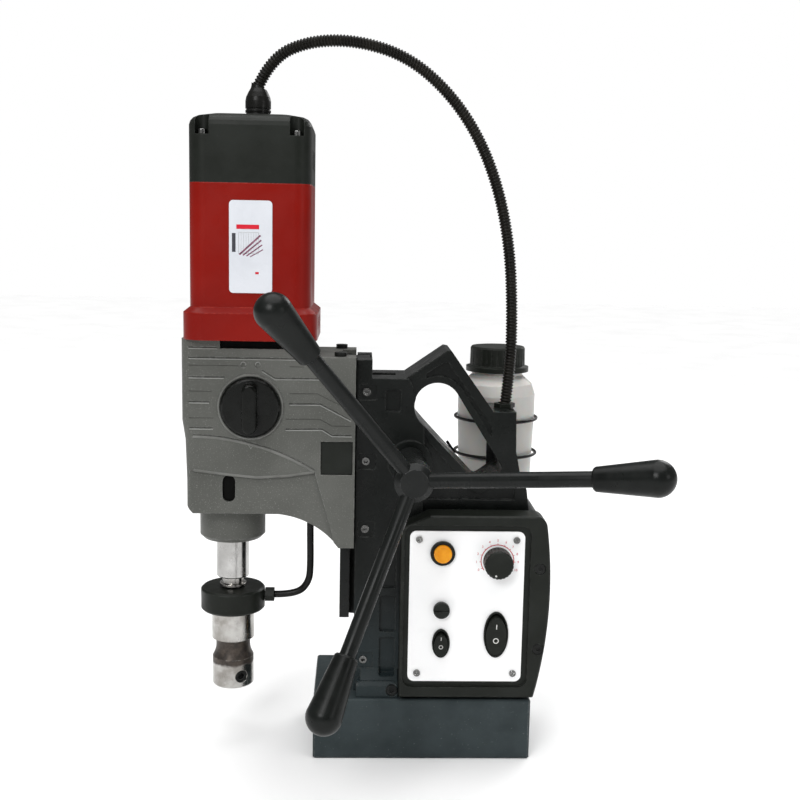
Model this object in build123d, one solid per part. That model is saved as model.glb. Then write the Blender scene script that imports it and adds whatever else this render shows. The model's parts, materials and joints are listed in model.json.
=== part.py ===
from build123d import *
import os
from math import atan2, cos, degrees, hypot, pi, radians, sin, sqrt, tan

# Magnetic drill press, millimetres. Z is up, X runs from the motor to the
# control box, and -Y is the operator's side. The origin is the centre of the
# magnet's bottom face. The carriage is at the place where it is parked.

# ---- driving dimensions -------------------------------------------------
MAGNET_LENGTH, MAGNET_DEPTH, MAGNET_HEIGHT = 168.0, 95.0, 48.0
COIL_X, CORE_R, COIL_R, COIL_DEPTH, POTTING = 40.0, 20.0, 32.0, 34.0, 6.0
FOOT_TOP, BOX_FLOOR = 60.0, 62.0
MAGNET_BOLTS = [(-40.0, 37.0, 56.0), (76.0, 37.0, 56.0), (0.0, -8.0, BOX_FLOOR), (40.0, -8.0, BOX_FLOOR)]
RAMP_TOP = 66.4                              # of the slope from the foot up to the column's front
FOOT_SCREW = (-23.5, 53.6)                 # in the front of the foot

FRAME_FRONT, FRAME_BACK = -30.0, 26.0      # the column and the lower box
HANDLE_FRONT, HANDLE_BACK = -26.0, 24.0    # the carrying handle above them
COLUMN_LEFT, COLUMN_TOP = -53.5, 308.5
BOX_TOP = 190.0
HOUSING_FRONT, HOUSING_WALL = -51.0, 3.0   # control housing on the box's front
PLATE_X, PLATE_Z = (-12.0, 75.0), (64.0, 182.0)
PLATE_FRONT, PLATE_THICK = -50.0, 1.5

FLANK_SLOPE = 0.6                          # dovetail flanks, about 31 degrees
TONGUE_X = (-53.5, -43.5)
TONGUE_HALF = 10.0                         # half width at the mouth
SLIDE_Z = (104.0, 308.0)
GIB_WIDE = 3.6
FIT = 0.08                                 # sliding fit, each side

RACK_MODULE, PINION_TEETH = 1.5, 18
PINION_X, PINION_Z = -12.5, 230.6
PINION_R = RACK_MODULE * PINION_TEETH / 2
SHAFT_R, BUSH_R = 8.0, 11.0
HUB_Y, HUB_R = -96.7, 14.0
SPOKES, SPOKE_FIRST, SPOKE_TILT = 3, 7.3, 26.0
ROD_R, GRIP_START, GRIP_END, GRIP_R = 5.5, 130.0, 184.0, 12.4

SPINDLE_X, MOTOR_X = -150.0, -133.0
GEAR_BODY_HALF = 40.0                      # half depth of the gear housing
GEAR_TOP, EAR_TOP = 323.0, 311.0
MOTOR_HALF, BAND_HALF = 44.5, 49.5
MOTOR_Z = (GEAR_TOP, 437.0)
CAP_TOP = 487.0
WELDON_R, WELDON_DEPTH = 9.525, 50.0       # 19.05 mm shank
ARBOR_BOTTOM, SPINDLE_END = 43.0, 131.8
RING_R, RING_Z = 25.2, (105.0, 123.0)

FAST_MODULE, ARMATURE_TEETH, LAY_TEETH = 1.0, 12, 32
SLOW_MODULE, LAY_PINION_TEETH, SPINDLE_TEETH = 1.5, 16, 32

BOTTLE_X, BOTTLE_Y, BOTTLE_R = 63.5, 64.0, 32.0
BOTTLE_Z = (198.0, 290.0)
CONDUIT_R, HOSE_R = 4.6, 2.75

# Gib screws, and the screws and controls of the panel, as X and Z.
GIB_SCREWS = [72.9, 177.7, 230.7, 284.0]
GIB_SCREW_X = -46.0
HOUSING_SCREWS = [(87.0, 153.4), (87.4, 90.1)]
PANEL_SCREWS = [(x, z) for x in (-5.0, 68.6) for z in (70.6, 175.6)]
BUTTON, DIAL, FUSE = (12.8, 165.2), (54.4, 159.4), (12.8, 121.1)
MOTOR_SWITCH, MAGNET_SWITCH = (13.0, 94.5), (54.9, 101.6)
MOTOR_SWITCH_HALF, MAGNET_SWITCH_HALF = (6.75, 11.25), (9.4, 18.0)
ROCK = 8.0                                 # each rocker tilts this far either way
PIVOT_Y = -46.0

# Selector knob, bolts in the ears, and the creases in the gear housing's front.
KNOB = (-132.4, 273.0)
EAR_BOLT_X, EAR_BOLT_Y = -66.0, 30.0
GROOVES = [[(-186, 317.0), (-157, 317.0)], [(-186, 309.4), (-92, 309.4)],
           [(-186, 295.0), (-152, 295.0)], [(-124, 300.5), (-114.4, 294.6), (-81, 294.8)],
           [(-103.5, 275.6), (-80.8, 275.8), (-57.6, 263.8)],
           [(-106.3, 256.4), (-79.2, 256.8), (-71.7, 252.2), (-56.7, 252.1)],
           [(-186, 276.3), (-163.2, 276.3)], [(-186, 256.7), (-160.3, 256.7)]]
STRAIN_X = -130.5
POCKET_X, POCKET_Y = 34.0, 40.0             # screw pockets in the end cap
# The end cap's crown: height above its bottom and inset of its walls.
CAP_CROWN = [(41.0, 0.0), (44.0, 0.9), (46.3, 2.8), (48.0, 6.0), (50.0, 15.0)]
LABEL_X, LABEL_Z = (-147.5, -116.3), (357.8, 424.6)
ARBOR_SCREWS = (-60.0, 30.0)               # directions of the two, in degrees
SEAT_FIT, SHAFT_FIT = 0.02, 0.05           # clearance round a bearing and in it

BRACKET_SCREWS = [(64.0, 231.5), (60.0, 244.5)]
WIRE_R = 1.3
HOLDER_Z = (252.0, 222.5)
UPRIGHTS = [(-106.0, 118.0), (-79.0, 62.0)]  # directions of the holder's uprights, in pairs
GLAND_X, GLAND_TOP = 62.4, 269.5

# Routes of the two hoses, X and Z; both lie in the plane Y = 0.
CONDUIT_ROUTE = [(-130.3, 510.2), (-120.5, 531.0), (-92.0, 544.0), (-56.0, 545.0),
                 (-18.0, 534.0), (14.0, 508.0), (38.0, 474.0), (54.0, 434.0),
                 (63.0, 390.0), (66.0, 345.0), (66.2, 303.0), (62.4, 266.5)]
HOSE_ROUTE = [(-117.2, 116.0), (-99.5, 116.0), (-89.5, 126.5), (-88.6, 142.0),
              (-89.0, 166.0), (-89.0, 188.0)]

# Where the layshaft stands: on the circles of both gear pairs.
fast_r = FAST_MODULE * (ARMATURE_TEETH + LAY_TEETH) / 2
slow_r = SLOW_MODULE * (LAY_PINION_TEETH + SPINDLE_TEETH) / 2
shaft_gap = MOTOR_X - SPINDLE_X
lay_dx = (slow_r**2 - fast_r**2 + shaft_gap**2) / (2 * shaft_gap)
LAY_X, LAY_Y = SPINDLE_X + lay_dx, sqrt(slow_r**2 - lay_dx**2)


# ---- shape helpers ------------------------------------------------------
def block(x, y, z):
    """Box from three (low, high) pairs."""
    size = [high - low for low, high in (x, y, z)]
    return Pos(x[0], y[0], z[0]) * Box(*size, align=(Align.MIN,) * 3)


def slab(sketch, y0, y1):
    """Extrude a sketch drawn in X and Z from y0 to y1."""
    return extrude(Plane.XZ.offset(-y1) * sketch, y1 - y0)


def rod_y(x, z, r, y0, y1):
    return slab(Pos(x, z) * Circle(r), y0, y1)


def rod_z(x, y, r, z0, z1):
    return extrude(Pos(x, y, z0) * Circle(r), z1 - z0)


def rod_x(y, z, r, x0, x1):
    return extrude(Plane.YZ.offset(x0) * Pos(y, z) * Circle(r), x1 - x0)


def tube_z(x, y, r_in, r_out, z0, z1):
    return rod_z(x, y, r_out, z0, z1) - rod_z(x, y, r_in, z0 - 1, z1 + 1)


def outline(points, radius=0.0):
    """Closed outline, with every corner rounded when a radius is given."""
    face = make_face(Polyline(*points, close=True))
    return fillet(face.vertices(), radius) if radius else face


def spun(points, x, y):
    """Solid of revolution about the vertical line at x, y, from (radius, z) points."""
    profile = make_face(Plane.XZ * Polyline(*points, close=True))
    return Pos(x, y) * revolve(profile, Axis.Z)


def box_sketch(x, z, radius):
    centre = Pos((x[0] + x[1]) / 2, (z[0] + z[1]) / 2)
    return centre * RectangleRounded(x[1] - x[0], z[1] - z[0], radius)


def gear_sketch(module, teeth, phase=0.0):
    """Straight-flanked spur gear with backlash; phase turns it, in degrees."""
    pitch = module * teeth / 2
    tip, root = pitch + 0.8 * module, pitch - 1.15 * module
    step = 2 * pi / teeth
    start = radians(phase)
    points = []
    for tooth in range(teeth):
        middle = start + tooth * step
        for radius, share in ((root, -0.30), (tip, -0.12), (tip, 0.12), (root, 0.30)):
            angle = middle + share * step
            points.append((radius * cos(angle), radius * sin(angle)))
    return make_face(Polyline(*points, close=True))


def hex_screw(x, z, r, head_r, y_face, depth, head):
    """Socket screw driven along +Y, its head standing on y_face."""
    body = rod_y(x, z, r, y_face, y_face + depth) + rod_y(x, z, head_r, y_face - head, y_face)
    socket = slab(Pos(x, z) * RegularPolygon(head_r * 0.5, 6), y_face - head, y_face - head * 0.4)
    return body - socket


def hose(route, r):
    """Round hose along straight runs joined by arcs as large as the runs allow."""
    runs = [(b[0] - a[0], b[1] - a[1]) for a, b in zip(route, route[1:])]
    radii = []
    for one, two in zip(runs, runs[1:]):
        turn = abs(degrees(atan2(two[1], two[0]) - atan2(one[1], one[0])))
        turn = radians(min(turn, 360 - turn))
        radii.append(0.45 * min(hypot(*one), hypot(*two)) / tan(turn / 2))
    path = Plane.XZ * FilletPolyline(*route, radius=radii)
    end = path.edges().sort_by_distance(Vector(route[0][0], 0, route[0][1]))[0]
    tube = sweep(Plane(origin=end @ 0, z_dir=end % 0) * Circle(r), path=path)
    length = path.length
    print("hose radii", [round(value, 1) for value in radii], "length", round(length, 1),
          "volume", round(tube.volume), "section x length", round(pi * r * r * length))
    return tube


# ---- magnet -------------------------------------------------------------
def magnet():
    half_x, half_y = MAGNET_LENGTH / 2, MAGNET_DEPTH / 2
    body = block((-half_x, half_x), (-half_y, half_y), (0, MAGNET_HEIGHT))
    body = chamfer(body.edges().filter_by(Axis.Z), 1.5)
    body = chamfer(body.faces().sort_by(Axis.Z)[0].edges(), 0.8)
    body = fillet(body.faces().sort_by(Axis.Z)[-1].edges(), 2)
    coils, potting = [], []
    for x in (-COIL_X, COIL_X):
        body -= tube_z(x, 0, CORE_R, COIL_R, -1, COIL_DEPTH)
        coils.append(tube_z(x, 0, CORE_R + 0.2, COIL_R - 0.2, POTTING, COIL_DEPTH))
        potting.append(tube_z(x, 0, CORE_R, COIL_R, 0, POTTING))
    for x, y, seat in MAGNET_BOLTS:
        body -= rod_z(x, y, 4.1, MAGNET_HEIGHT - 9, MAGNET_HEIGHT + 1)
    return {"magnet_body": body, "magnet_coils": Compound(coils), "magnet_potting": Compound(potting)}


def magnet_bolts():
    """Cap screws down into the magnet, and the screw in the front of the foot."""
    bolts = []
    for x, y, seat in MAGNET_BOLTS:
        head = rod_z(x, y, 6.4, seat, seat + 6) - extrude(Pos(x, y, seat + 3) * RegularPolygon(3.4, 6), 4)
        bolts.append(head + rod_z(x, y, 4.0, MAGNET_HEIGHT - 8, seat))
    bolts.append(hex_screw(*FOOT_SCREW, 2.5, 4.2, -41, 8, 2.6))
    return {"magnet_bolts": Compound(bolts)}


# ---- frame --------------------------------------------------------------
def tongue_half(x, extra=0.0):
    """Half width of the dovetail tongue at x."""
    return TONGUE_HALF + FLANK_SLOPE * (x - TONGUE_X[0]) + extra


def box_face(left, bottom, inset):
    """Front view of the lower box: its right side bulges, its top left corner is cut off."""
    top, right = 194.0 - inset, 90.5 - inset
    edges = [ThreePointArc((85.0 - inset, bottom), (95.3 - inset, 128.0), (right, top)),
             Polyline((right, top), (3.0, top), (left, 184.0), (left, bottom), (85.0 - inset, bottom))]
    face = make_face(edges)
    corner = face.vertices().sort_by_distance((right, top, 0))
    face = fillet(corner[0], 9)
    return fillet(face.vertices().filter_by(lambda v: v.X < 10 or v.Y < bottom + 1), 1.5)


def frame_casting():
    column = slab(outline([(COLUMN_LEFT, MAGNET_HEIGHT), (COLUMN_LEFT, COLUMN_TOP), (-42, COLUMN_TOP),
                           (-42, 294.5), (-14, 294.5), (-2, 262), (-2, MAGNET_HEIGHT)]),
                  FRAME_FRONT, FRAME_BACK)
    top = outline([(-42, 294.5), (-16.3, 294.5), (14.5, 316.0), (18, 315.4), (51, 269.5), (68.5, 269.5),
                   (69.3, 238.7), (72.6, 223), (78.4, 209), (80.8, BOX_TOP), (-42, BOX_TOP)])
    handle = slab(top, HANDLE_FRONT, HANDLE_BACK)
    grip_hole = make_hull((Pos(8, 273.5) * Circle(17.8)).edges() + (Pos(42, 217) * Circle(4)).edges()
                          + (Pos(54.5, 226) * Circle(4)).edges())
    lower = slab(box_face(-20.0, MAGNET_HEIGHT, 1.5), FRAME_FRONT, FRAME_BACK)
    foot = block((-51, -19), (-44, 44), (MAGNET_HEIGHT, FOOT_TOP))
    foot += block((-19, 83), (FRAME_FRONT, 44), (MAGNET_HEIGHT, FOOT_TOP))
    foot = chamfer(foot.faces().sort_by(Axis.Z)[-1].edges(), 3)
    ramp = [(-44, FOOT_TOP - 3), (FRAME_FRONT, RAMP_TOP), (FRAME_FRONT + 2, RAMP_TOP),
            (FRAME_FRONT + 2, FOOT_TOP - 3)]
    foot += extrude(Plane.YZ.offset(-48) * make_face(Polyline(*ramp, close=True)), 29)
    body = column + handle + lower + foot
    body -= slab(grip_hole, HANDLE_FRONT - 5, HANDLE_BACK + 5)
    # a thin raised rim follows the handle; the web between is sunk on both sides
    sunk = offset(outline([(-36, 288), (-18, 288), (12, 308), (16, 308), (52, 257), (63, 257),
                           (63, 236), (70, 215), (70, 200), (-36, 200)]), -1)
    ring = make_hull((Pos(8, 273.5) * Circle(23)).edges() + (Pos(41, 214) * Circle(8)).edges()
                     + (Pos(56, 226) * Circle(8)).edges())
    sunk -= ring
    sunk -= Pos(PINION_X, PINION_Z) * Circle(17)
    sunk -= box_sketch((50, 73), (214, 259), 2)
    body -= slab(sunk, HANDLE_BACK - 3, HANDLE_BACK + 5) - block((-60, -2), (0, 60), (0, 400))
    body -= slab(sunk, HANDLE_FRONT - 5, HANDLE_FRONT + 2.5) - block((-60, -1), (-60, 0), (0, 400))
    # compartment for the electrics, open to the control housing
    body -= block((-8, 72), (FRAME_FRONT - 1, FRAME_BACK - 6), (BOX_FLOOR, 178))
    # dovetail way, rack channel and pinion chamber
    way = [(TONGUE_X[0] - 1, tongue_half(TONGUE_X[0] - 1, 0.15)), (-43.3, tongue_half(-43.3, 0.15)),
           (-43.3, -tongue_half(-43.3, GIB_WIDE + 0.1)),
           (TONGUE_X[0] - 1, -tongue_half(TONGUE_X[0] - 1, GIB_WIDE + 0.1))]
    body -= extrude(Pos(0, 0, MAGNET_HEIGHT + 2) * outline(way), 300)
    body -= block((-43.4, -23.5), (-7, 7), (MAGNET_HEIGHT + 2, 340))
    body -= rod_y(PINION_X, PINION_Z, PINION_R + 3, -8.5, 8.5)
    body += rod_y(PINION_X, PINION_Z, 17, FRAME_FRONT - 2, FRAME_FRONT + 1)
    body -= rod_y(PINION_X, PINION_Z, BUSH_R + 0.02, FRAME_FRONT - 3, FRAME_BACK + 1)
    # cast recesses on the column's front
    for x, z in (((-31.6, -20), (269.5, 286)), ((-33.5, -21.5), (96, 125)), ((-33.5, -21.5), (62, 91.5)),
                 ((-33.5, -21.5), (131, 168))):
        body -= slab(box_sketch(x, z, 1.5), FRAME_FRONT - 9, FRAME_FRONT + 3)
    # gib screws, each in a flat milled in the front
    for z in GIB_SCREWS:
        body -= rod_y(GIB_SCREW_X, z, 3.05, FRAME_FRONT - 1, -15)
        body -= slab(box_sketch((GIB_SCREW_X - 5.5, GIB_SCREW_X + 7.5), (z - 6, z + 6), 1.0),
                     FRAME_FRONT - 1, FRAME_FRONT + 1.2)
    for x, y, seat in MAGNET_BOLTS:
        body -= rod_z(x, y, 4.1, MAGNET_HEIGHT - 1, seat + 1) + rod_z(x, y, 7.2, seat, seat + 20)
    body -= rod_y(*FOOT_SCREW, 2.6, -45, -32) + rod_y(*FOOT_SCREW, 4.6, -45, -41)
    body -= rod_z(GLAND_X, 0, 7.02, 258, 275)
    for x, z in HOUSING_SCREWS:
        body -= rod_y(x, z, 2.1, FRAME_FRONT, FRAME_FRONT + 14)
    for x, z in BRACKET_SCREWS:
        body -= rod_y(x, z, 2.6, HANDLE_BACK - 7, HANDLE_BACK + 1)
    return {"frame_casting": body}


def gib():
    x0, x1 = TONGUE_X[0] + 0.2, TONGUE_X[1]
    section = outline([(x0, -tongue_half(x0, FIT)), (x0, -tongue_half(x0, GIB_WIDE)),
                       (x1, -tongue_half(x1, GIB_WIDE)), (x1, -tongue_half(x1, FIT))])
    strip = extrude(Pos(0, 0, MAGNET_HEIGHT + 4) * section, COLUMN_TOP - MAGNET_HEIGHT - 6)
    tip = -tongue_half(GIB_SCREW_X, GIB_WIDE)
    screws = []
    for z in GIB_SCREWS:
        screw = rod_y(GIB_SCREW_X, z, 3.0, FRAME_FRONT + 0.6, tip - 2.2)
        screws.append(screw - slab(Pos(GIB_SCREW_X, z) * RegularPolygon(1.7, 6),
                                   FRAME_FRONT, FRAME_FRONT + 3.5))
    return {"gib_strip": strip, "gib_screws": Compound(screws)}


def bushes():
    solids = []
    for y0, y1 in ((FRAME_FRONT - 1.5, -9.0), (9.0, FRAME_BACK - 1)):
        solids.append(rod_y(PINION_X, PINION_Z, BUSH_R, y0, y1)
                      - rod_y(PINION_X, PINION_Z, SHAFT_R + SHAFT_FIT, y0 - 1, y1 + 1))
    return {"pinion_bushes": Compound(solids)}


def conduit_gland():
    body = rod_z(GLAND_X, 0, 7.0, 259, GLAND_TOP)
    body += extrude(Pos(GLAND_X, 0, GLAND_TOP) * RegularPolygon(8.2, 6), 3.5)
    return {"conduit_gland": body - rod_z(GLAND_X, 0, 5.7, 262, 275)}


# ---- control housing ----------------------------------------------------
def control_housing():
    y_back = FRAME_FRONT
    shell = slab(box_face(-18.5, 51.0, 0.0), HOUSING_FRONT, y_back)
    shell = chamfer(shell.faces().sort_by(Axis.Y)[0].outer_wire().edges(), 1.2)
    shell -= slab(offset(box_face(-18.5, 51.0, 0.0), -HOUSING_WALL), PLATE_FRONT + 5, y_back + 1) \
        - block((82, 99), (-60, 0), (80, 163))
    shell -= slab(box_sketch((PLATE_X[0] - 4, PLATE_X[1] + 4.5), (PLATE_Z[0] - 4.5, PLATE_Z[1] + 4.5), 7),
                  HOUSING_FRONT - 1, PLATE_FRONT + PLATE_THICK)
    for cut in panel_cuts(PLATE_FRONT - 5, 0):
        shell -= cut
    for x, z in PANEL_SCREWS:
        shell -= rod_y(x, z, 1.3, PLATE_FRONT, PLATE_FRONT + 8)
    for x, z in HOUSING_SCREWS:
        shell -= rod_y(x, z, 2.1, HOUSING_FRONT - 1, y_back + 1)
        shell -= rod_y(x, z, 4.4, HOUSING_FRONT - 1, HOUSING_FRONT + 2.2)
    screws = [hex_screw(x, z, 2.0, 4.0, HOUSING_FRONT + 2.2, 30, 2.0) for x, z in HOUSING_SCREWS]
    return {"control_housing": shell, "housing_screws": Compound(screws)}


def panel_cuts(y0, y1):
    """Openings for the controls, the same in the plate and in the housing."""
    cuts = [rod_y(*BUTTON, 8.1, y0, y1), rod_y(*DIAL, 3.7, y0, y1), rod_y(*FUSE, 5.3, y0, y1)]
    for centre, half in ((MOTOR_SWITCH, MOTOR_SWITCH_HALF), (MAGNET_SWITCH, MAGNET_SWITCH_HALF)):
        cuts.append(slab(Pos(*centre) * Ellipse(half[0] - 0.8, half[1] - 0.8), y0, y1))
    return cuts


def panel_plate():
    back = PLATE_FRONT + PLATE_THICK
    plate = slab(box_sketch(PLATE_X, PLATE_Z, 5), PLATE_FRONT, back)
    for cut in panel_cuts(PLATE_FRONT - 5, 0):
        plate -= cut
    screws = []
    for x, z in PANEL_SCREWS:
        plate -= rod_y(x, z, 1.6, PLATE_FRONT - 1, back + 1)
        screw = rod_y(x, z, 2.6, PLATE_FRONT - 1.2, PLATE_FRONT) + rod_y(x, z, 1.25, PLATE_FRONT, back + 4)
        for angle in (0, 90):
            cross = Pos(x, z) * Rot(0, 0, angle + 20) * Rectangle(3.2, 0.6)
            screw -= slab(cross, PLATE_FRONT - 2, PLATE_FRONT - 0.5)
        screws.append(screw)
    return {"panel_plate": plate, "panel_screws": Compound(screws)}


def push_button():
    front = PLATE_FRONT
    bezel = rod_y(*BUTTON, 9.3, front - 2.6, front) + rod_y(*BUTTON, 8.0, front, -31)
    bezel -= rod_y(*BUTTON, 7.0, front - 5, -33)
    button = rod_y(*BUTTON, 6.8, front - 5.5, -40)
    button = fillet(button.faces().sort_by(Axis.Y)[0].edges(), 1.0)
    return {"button_bezel": bezel, "reverse_button": button}


def speed_dial():
    knob = rod_y(*DIAL, 10.9, PLATE_FRONT - 13.5, PLATE_FRONT - 1)
    knob = chamfer(knob.faces().sort_by(Axis.Y)[0].edges(), 1.2)
    for count in range(24):
        angle = radians(15 * count)
        place = (DIAL[0] + 11.15 * cos(angle), DIAL[1] + 11.15 * sin(angle))
        knob -= rod_y(*place, 0.7, PLATE_FRONT - 20, PLATE_FRONT - 3)
    knob += rod_y(*DIAL, 3.0, PLATE_FRONT - 1, -36)
    pot = rod_y(*DIAL, 3.6, PLATE_FRONT - 0.6, -44.9) + rod_y(*DIAL, 8.5, -44.9, -34)
    pot -= rod_y(*DIAL, 3.05, PLATE_FRONT - 5, -35.5)
    return {"speed_knob": knob, "speed_pot": pot}


def fuse():
    front = PLATE_FRONT
    holder = rod_y(*FUSE, 5.2, front - 0.4, -24) - rod_y(*FUSE, 3.4, front - 2, -26)
    cap = rod_y(*FUSE, 6.2, front - 5, front - 0.6) + rod_y(*FUSE, 3.3, front - 0.6, -40)
    cap = chamfer(cap.faces().sort_by(Axis.Y)[0].edges(), 0.8)
    cap -= slab(Pos(*FUSE) * Rectangle(12.4, 1.3), front - 6, front - 3.8)
    return {"fuse_holder": holder, "fuse_cap": cap}


def rocker_switch(name, centre, half_x, half_z):
    """Oval rocker in its frame, resting in the off position."""
    front = PLATE_FRONT
    well = Pos(*centre) * Ellipse(half_x - 1.2, half_z - 1.3)
    frame = slab(Pos(*centre) * Ellipse(half_x, half_z), front - 1.6, front)
    frame += slab(Pos(*centre) * Ellipse(half_x - 0.9, half_z - 0.9), front, -30)
    frame -= slab(well, front - 3, -33)
    rocker = slab(Ellipse(half_x - 1.6, half_z - 2.5), front - 3.5 - PIVOT_Y, 2.0)
    rocker += rod_x(0, 0, 2.6, 2.4 - half_x, half_x - 2.4)
    # a shallow trough across the middle makes the two rocking faces
    rocker -= rod_x(front - 3.5 - PIVOT_Y - 2.2 * half_z, 0, 2.2 * half_z + 0.9, -half_x, half_x)
    rocker = Pos(centre[0], PIVOT_Y, centre[1]) * Rot(ROCK, 0, 0) * rocker
    return {name + "_rocker_frame": frame, name + "_rocker": rocker}


def circuit_board():
    board = block((-4, 68), (-20, -18.4), (66, 174))
    parts = [block((x, x + 12), (-18.4, -8), (z, z + 16)) for x, z in ((4, 76), (24, 76), (44, 128))]
    parts += [rod_y(x, 112, 6, -18.4, -2) for x in (12, 30, 48)]
    parts += [block((2, 62), (-18.4, -12), (156, 164))]
    return {"circuit_board": board + parts}


# ---- coolant bottle -----------------------------------------------------
def bottle():
    z0, z1 = BOTTLE_Z
    wall = 2.0
    outer = [(0, z0), (BOTTLE_R - 5, z0), (BOTTLE_R - 2, z0 + 3), (BOTTLE_R, z0 + 55), (BOTTLE_R, z1 - 18),
             (BOTTLE_R - 3, z1 - 9), (21, z1 - 2), (21, z1 + 14), (0, z1 + 14)]
    inner = [(0, z0 + wall), (BOTTLE_R - 6, z0 + wall), (BOTTLE_R - wall - 2, z0 + 5),
             (BOTTLE_R - wall, z0 + 55), (BOTTLE_R - wall, z1 - 19), (BOTTLE_R - 5, z1 - 11),
             (19, z1 - 4), (19, z1 + 15), (0, z1 + 15)]
    return {"bottle": spun(outer, BOTTLE_X, BOTTLE_Y) - spun(inner, BOTTLE_X, BOTTLE_Y)}


def bottle_cap():
    z = BOTTLE_Z[1] + 1
    outer = [(0, z), (26, z), (26, z + 4), (22.9, z + 5), (22.6, z + 19), (21.6, z + 20.5), (0, z + 20.5)]
    body = spun(outer, BOTTLE_X, BOTTLE_Y) - rod_z(BOTTLE_X, BOTTLE_Y, 21.3, z - 1, z + 17)
    for count in range(30):
        angle = radians(12 * count)
        place = (BOTTLE_X + 23.1 * cos(angle), BOTTLE_Y + 23.1 * sin(angle))
        body -= rod_z(*place, 0.7, z + 5, z + 22)
    return {"bottle_cap": body}


def bottle_holder():
    """Two wire rings, four uprights outside them and the two wires under the bottle."""
    ring_r = BOTTLE_R + 0.6 + WIRE_R
    post_r = ring_r + 1.2
    solids = Pos(BOTTLE_X, BOTTLE_Y, HOLDER_Z[0]) * Torus(ring_r, WIRE_R)
    solids += Pos(BOTTLE_X, BOTTLE_Y, HOLDER_Z[1]) * Torus(ring_r, WIRE_R)
    bottom = BOTTLE_Z[0] - 1.5
    for front, rear in UPRIGHTS:
        ends = [(BOTTLE_X + post_r * cos(radians(turn)), BOTTLE_Y + post_r * sin(radians(turn)))
                for turn in (front, rear)]
        for x, y in ends:
            solids += rod_z(x, y, 1.2, bottom - 2, HOLDER_Z[0] + 1)
        way = Vector(ends[1][0] - ends[0][0], ends[1][1] - ends[0][1], 0)
        start = Vector(ends[0][0], ends[0][1], bottom) - way.normalized() * 2
        solids += extrude(Plane(origin=start, z_dir=way.normalized()) * Circle(1.1), way.length + 4)
    hook = Pos(BOTTLE_X - ring_r - 0.4, BOTTLE_Y - 6, HOLDER_Z[1] - 1) * Rot(0, -35, 0)
    solids += hook * Cylinder(1.2, 12, align=(Align.CENTER, Align.CENTER, Align.MIN))
    # the plate that the rings are welded to, screwed on the back of the handle
    y = HANDLE_BACK
    plate = slab(box_sketch((52, 71), (217, 257), 3), y, y + 2.5)
    for z in HOLDER_Z:
        plate += block((BOTTLE_X - 4, BOTTLE_X + 4), (y + 2, BOTTLE_Y - ring_r), (z - 1, z + 1))
    screws = []
    for x, z in BRACKET_SCREWS:
        plate -= rod_y(x, z, 2.7, y - 1, y + 4)
        screws.append(rod_y(x, z, 2.5, y - 6, y + 2.5) + rod_y(x, z, 4.4, y + 2.5, y + 4.5))
    return {"bottle_holder": solids + plate, "bracket_screws": Compound(screws)}


# ---- feed handle --------------------------------------------------------
def pinion_shaft():
    shaft = rod_y(PINION_X, PINION_Z, SHAFT_R, HUB_Y + 12, FRAME_BACK + 4)
    teeth = Pos(PINION_X, PINION_Z) * gear_sketch(RACK_MODULE, PINION_TEETH, 180.0)
    shaft += slab(teeth, -8, 8)
    shaft += rod_y(PINION_X, PINION_Z, 10.5, FRAME_BACK - 0.5, FRAME_BACK + 3)
    return {"pinion_shaft": shaft}


def spoke_plane(index):
    """Plane at the hub's centre whose normal points along the spoke."""
    turn, tilt = radians(SPOKE_FIRST + index * 360 / SPOKES), radians(SPOKE_TILT)
    along = Vector(cos(turn) * cos(tilt), -sin(tilt), sin(turn) * cos(tilt))
    return Plane(origin=(PINION_X, HUB_Y, PINION_Z), z_dir=along)


def feed_handle():
    y_front = HUB_Y - 11
    hub = rod_y(PINION_X, PINION_Z, HUB_R, y_front, HUB_Y + 13)
    hub = chamfer(hub.faces().sort_by(Axis.Y)[0].edges(), 4)
    hub = chamfer(hub.faces().sort_by(Axis.Y)[-1].edges(), 2)
    hub += rod_y(PINION_X, PINION_Z, 12.0, HUB_Y + 13, FRAME_FRONT - 2.3)
    hub -= rod_y(PINION_X, PINION_Z, SHAFT_R, HUB_Y + 12, 0)
    nodes = {}
    length = GRIP_END - GRIP_START
    for index in range(SPOKES):
        plane = spoke_plane(index)
        hub -= extrude(plane.offset(9) * Circle(ROD_R), 30)
        rod = extrude(plane.offset(9) * Circle(ROD_R), GRIP_START + 20 - 9)
        lines = [Polyline((0, length), (0, 0), (7.4, 0), (8.4, 1.2), (GRIP_R, length - GRIP_R)),
                 CenterArc((0, length - GRIP_R), GRIP_R, 0, 90)]
        grip = revolve(Plane.XZ * make_face(lines), Axis.Z)
        grip -= extrude(Circle(ROD_R), 20)
        nodes["handle_rod_%d" % (index + 1)] = rod
        nodes["handle_grip_%d" % (index + 1)] = plane.offset(GRIP_START).location * grip
    nodes["handle_hub"] = hub
    return nodes


# ---- carriage -----------------------------------------------------------
def slide_and_rack():
    low, high = SLIDE_Z
    x0, x1 = TONGUE_X
    tongue = outline([(-57.5, TONGUE_HALF - 1), (x0, tongue_half(x0)), (x1, tongue_half(x1)),
                      (x1, -tongue_half(x1)), (x0, -tongue_half(x0)), (-57.5, 1 - TONGUE_HALF)])
    slide = block((-65, -57.5), (-20, 20), (low, high)) + extrude(Pos(0, 0, low) * tongue, high - low)
    pitch_x = PINION_X - PINION_R
    root, tip = pitch_x - 1.15 * RACK_MODULE, pitch_x + 0.8 * RACK_MODULE
    step = pi * RACK_MODULE
    count = int((high - low - 8) / step / 2)
    rack_top = high - 16
    points = [(x1, low + 3), (root, low + 3)]
    for tooth in range(-count, count + 1):
        z = PINION_Z + (tooth + 0.5) * step
        if low + 3 + step / 2 < z < rack_top - step / 2:
            points += [(root, z - 0.30 * step), (tip, z - 0.12 * step),
                       (tip, z + 0.12 * step), (root, z + 0.30 * step)]
    points += [(root, rack_top), (x1, rack_top)]
    return {"slide_plate": slide, "rack": slab(outline(points), -6, 6)}


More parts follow.
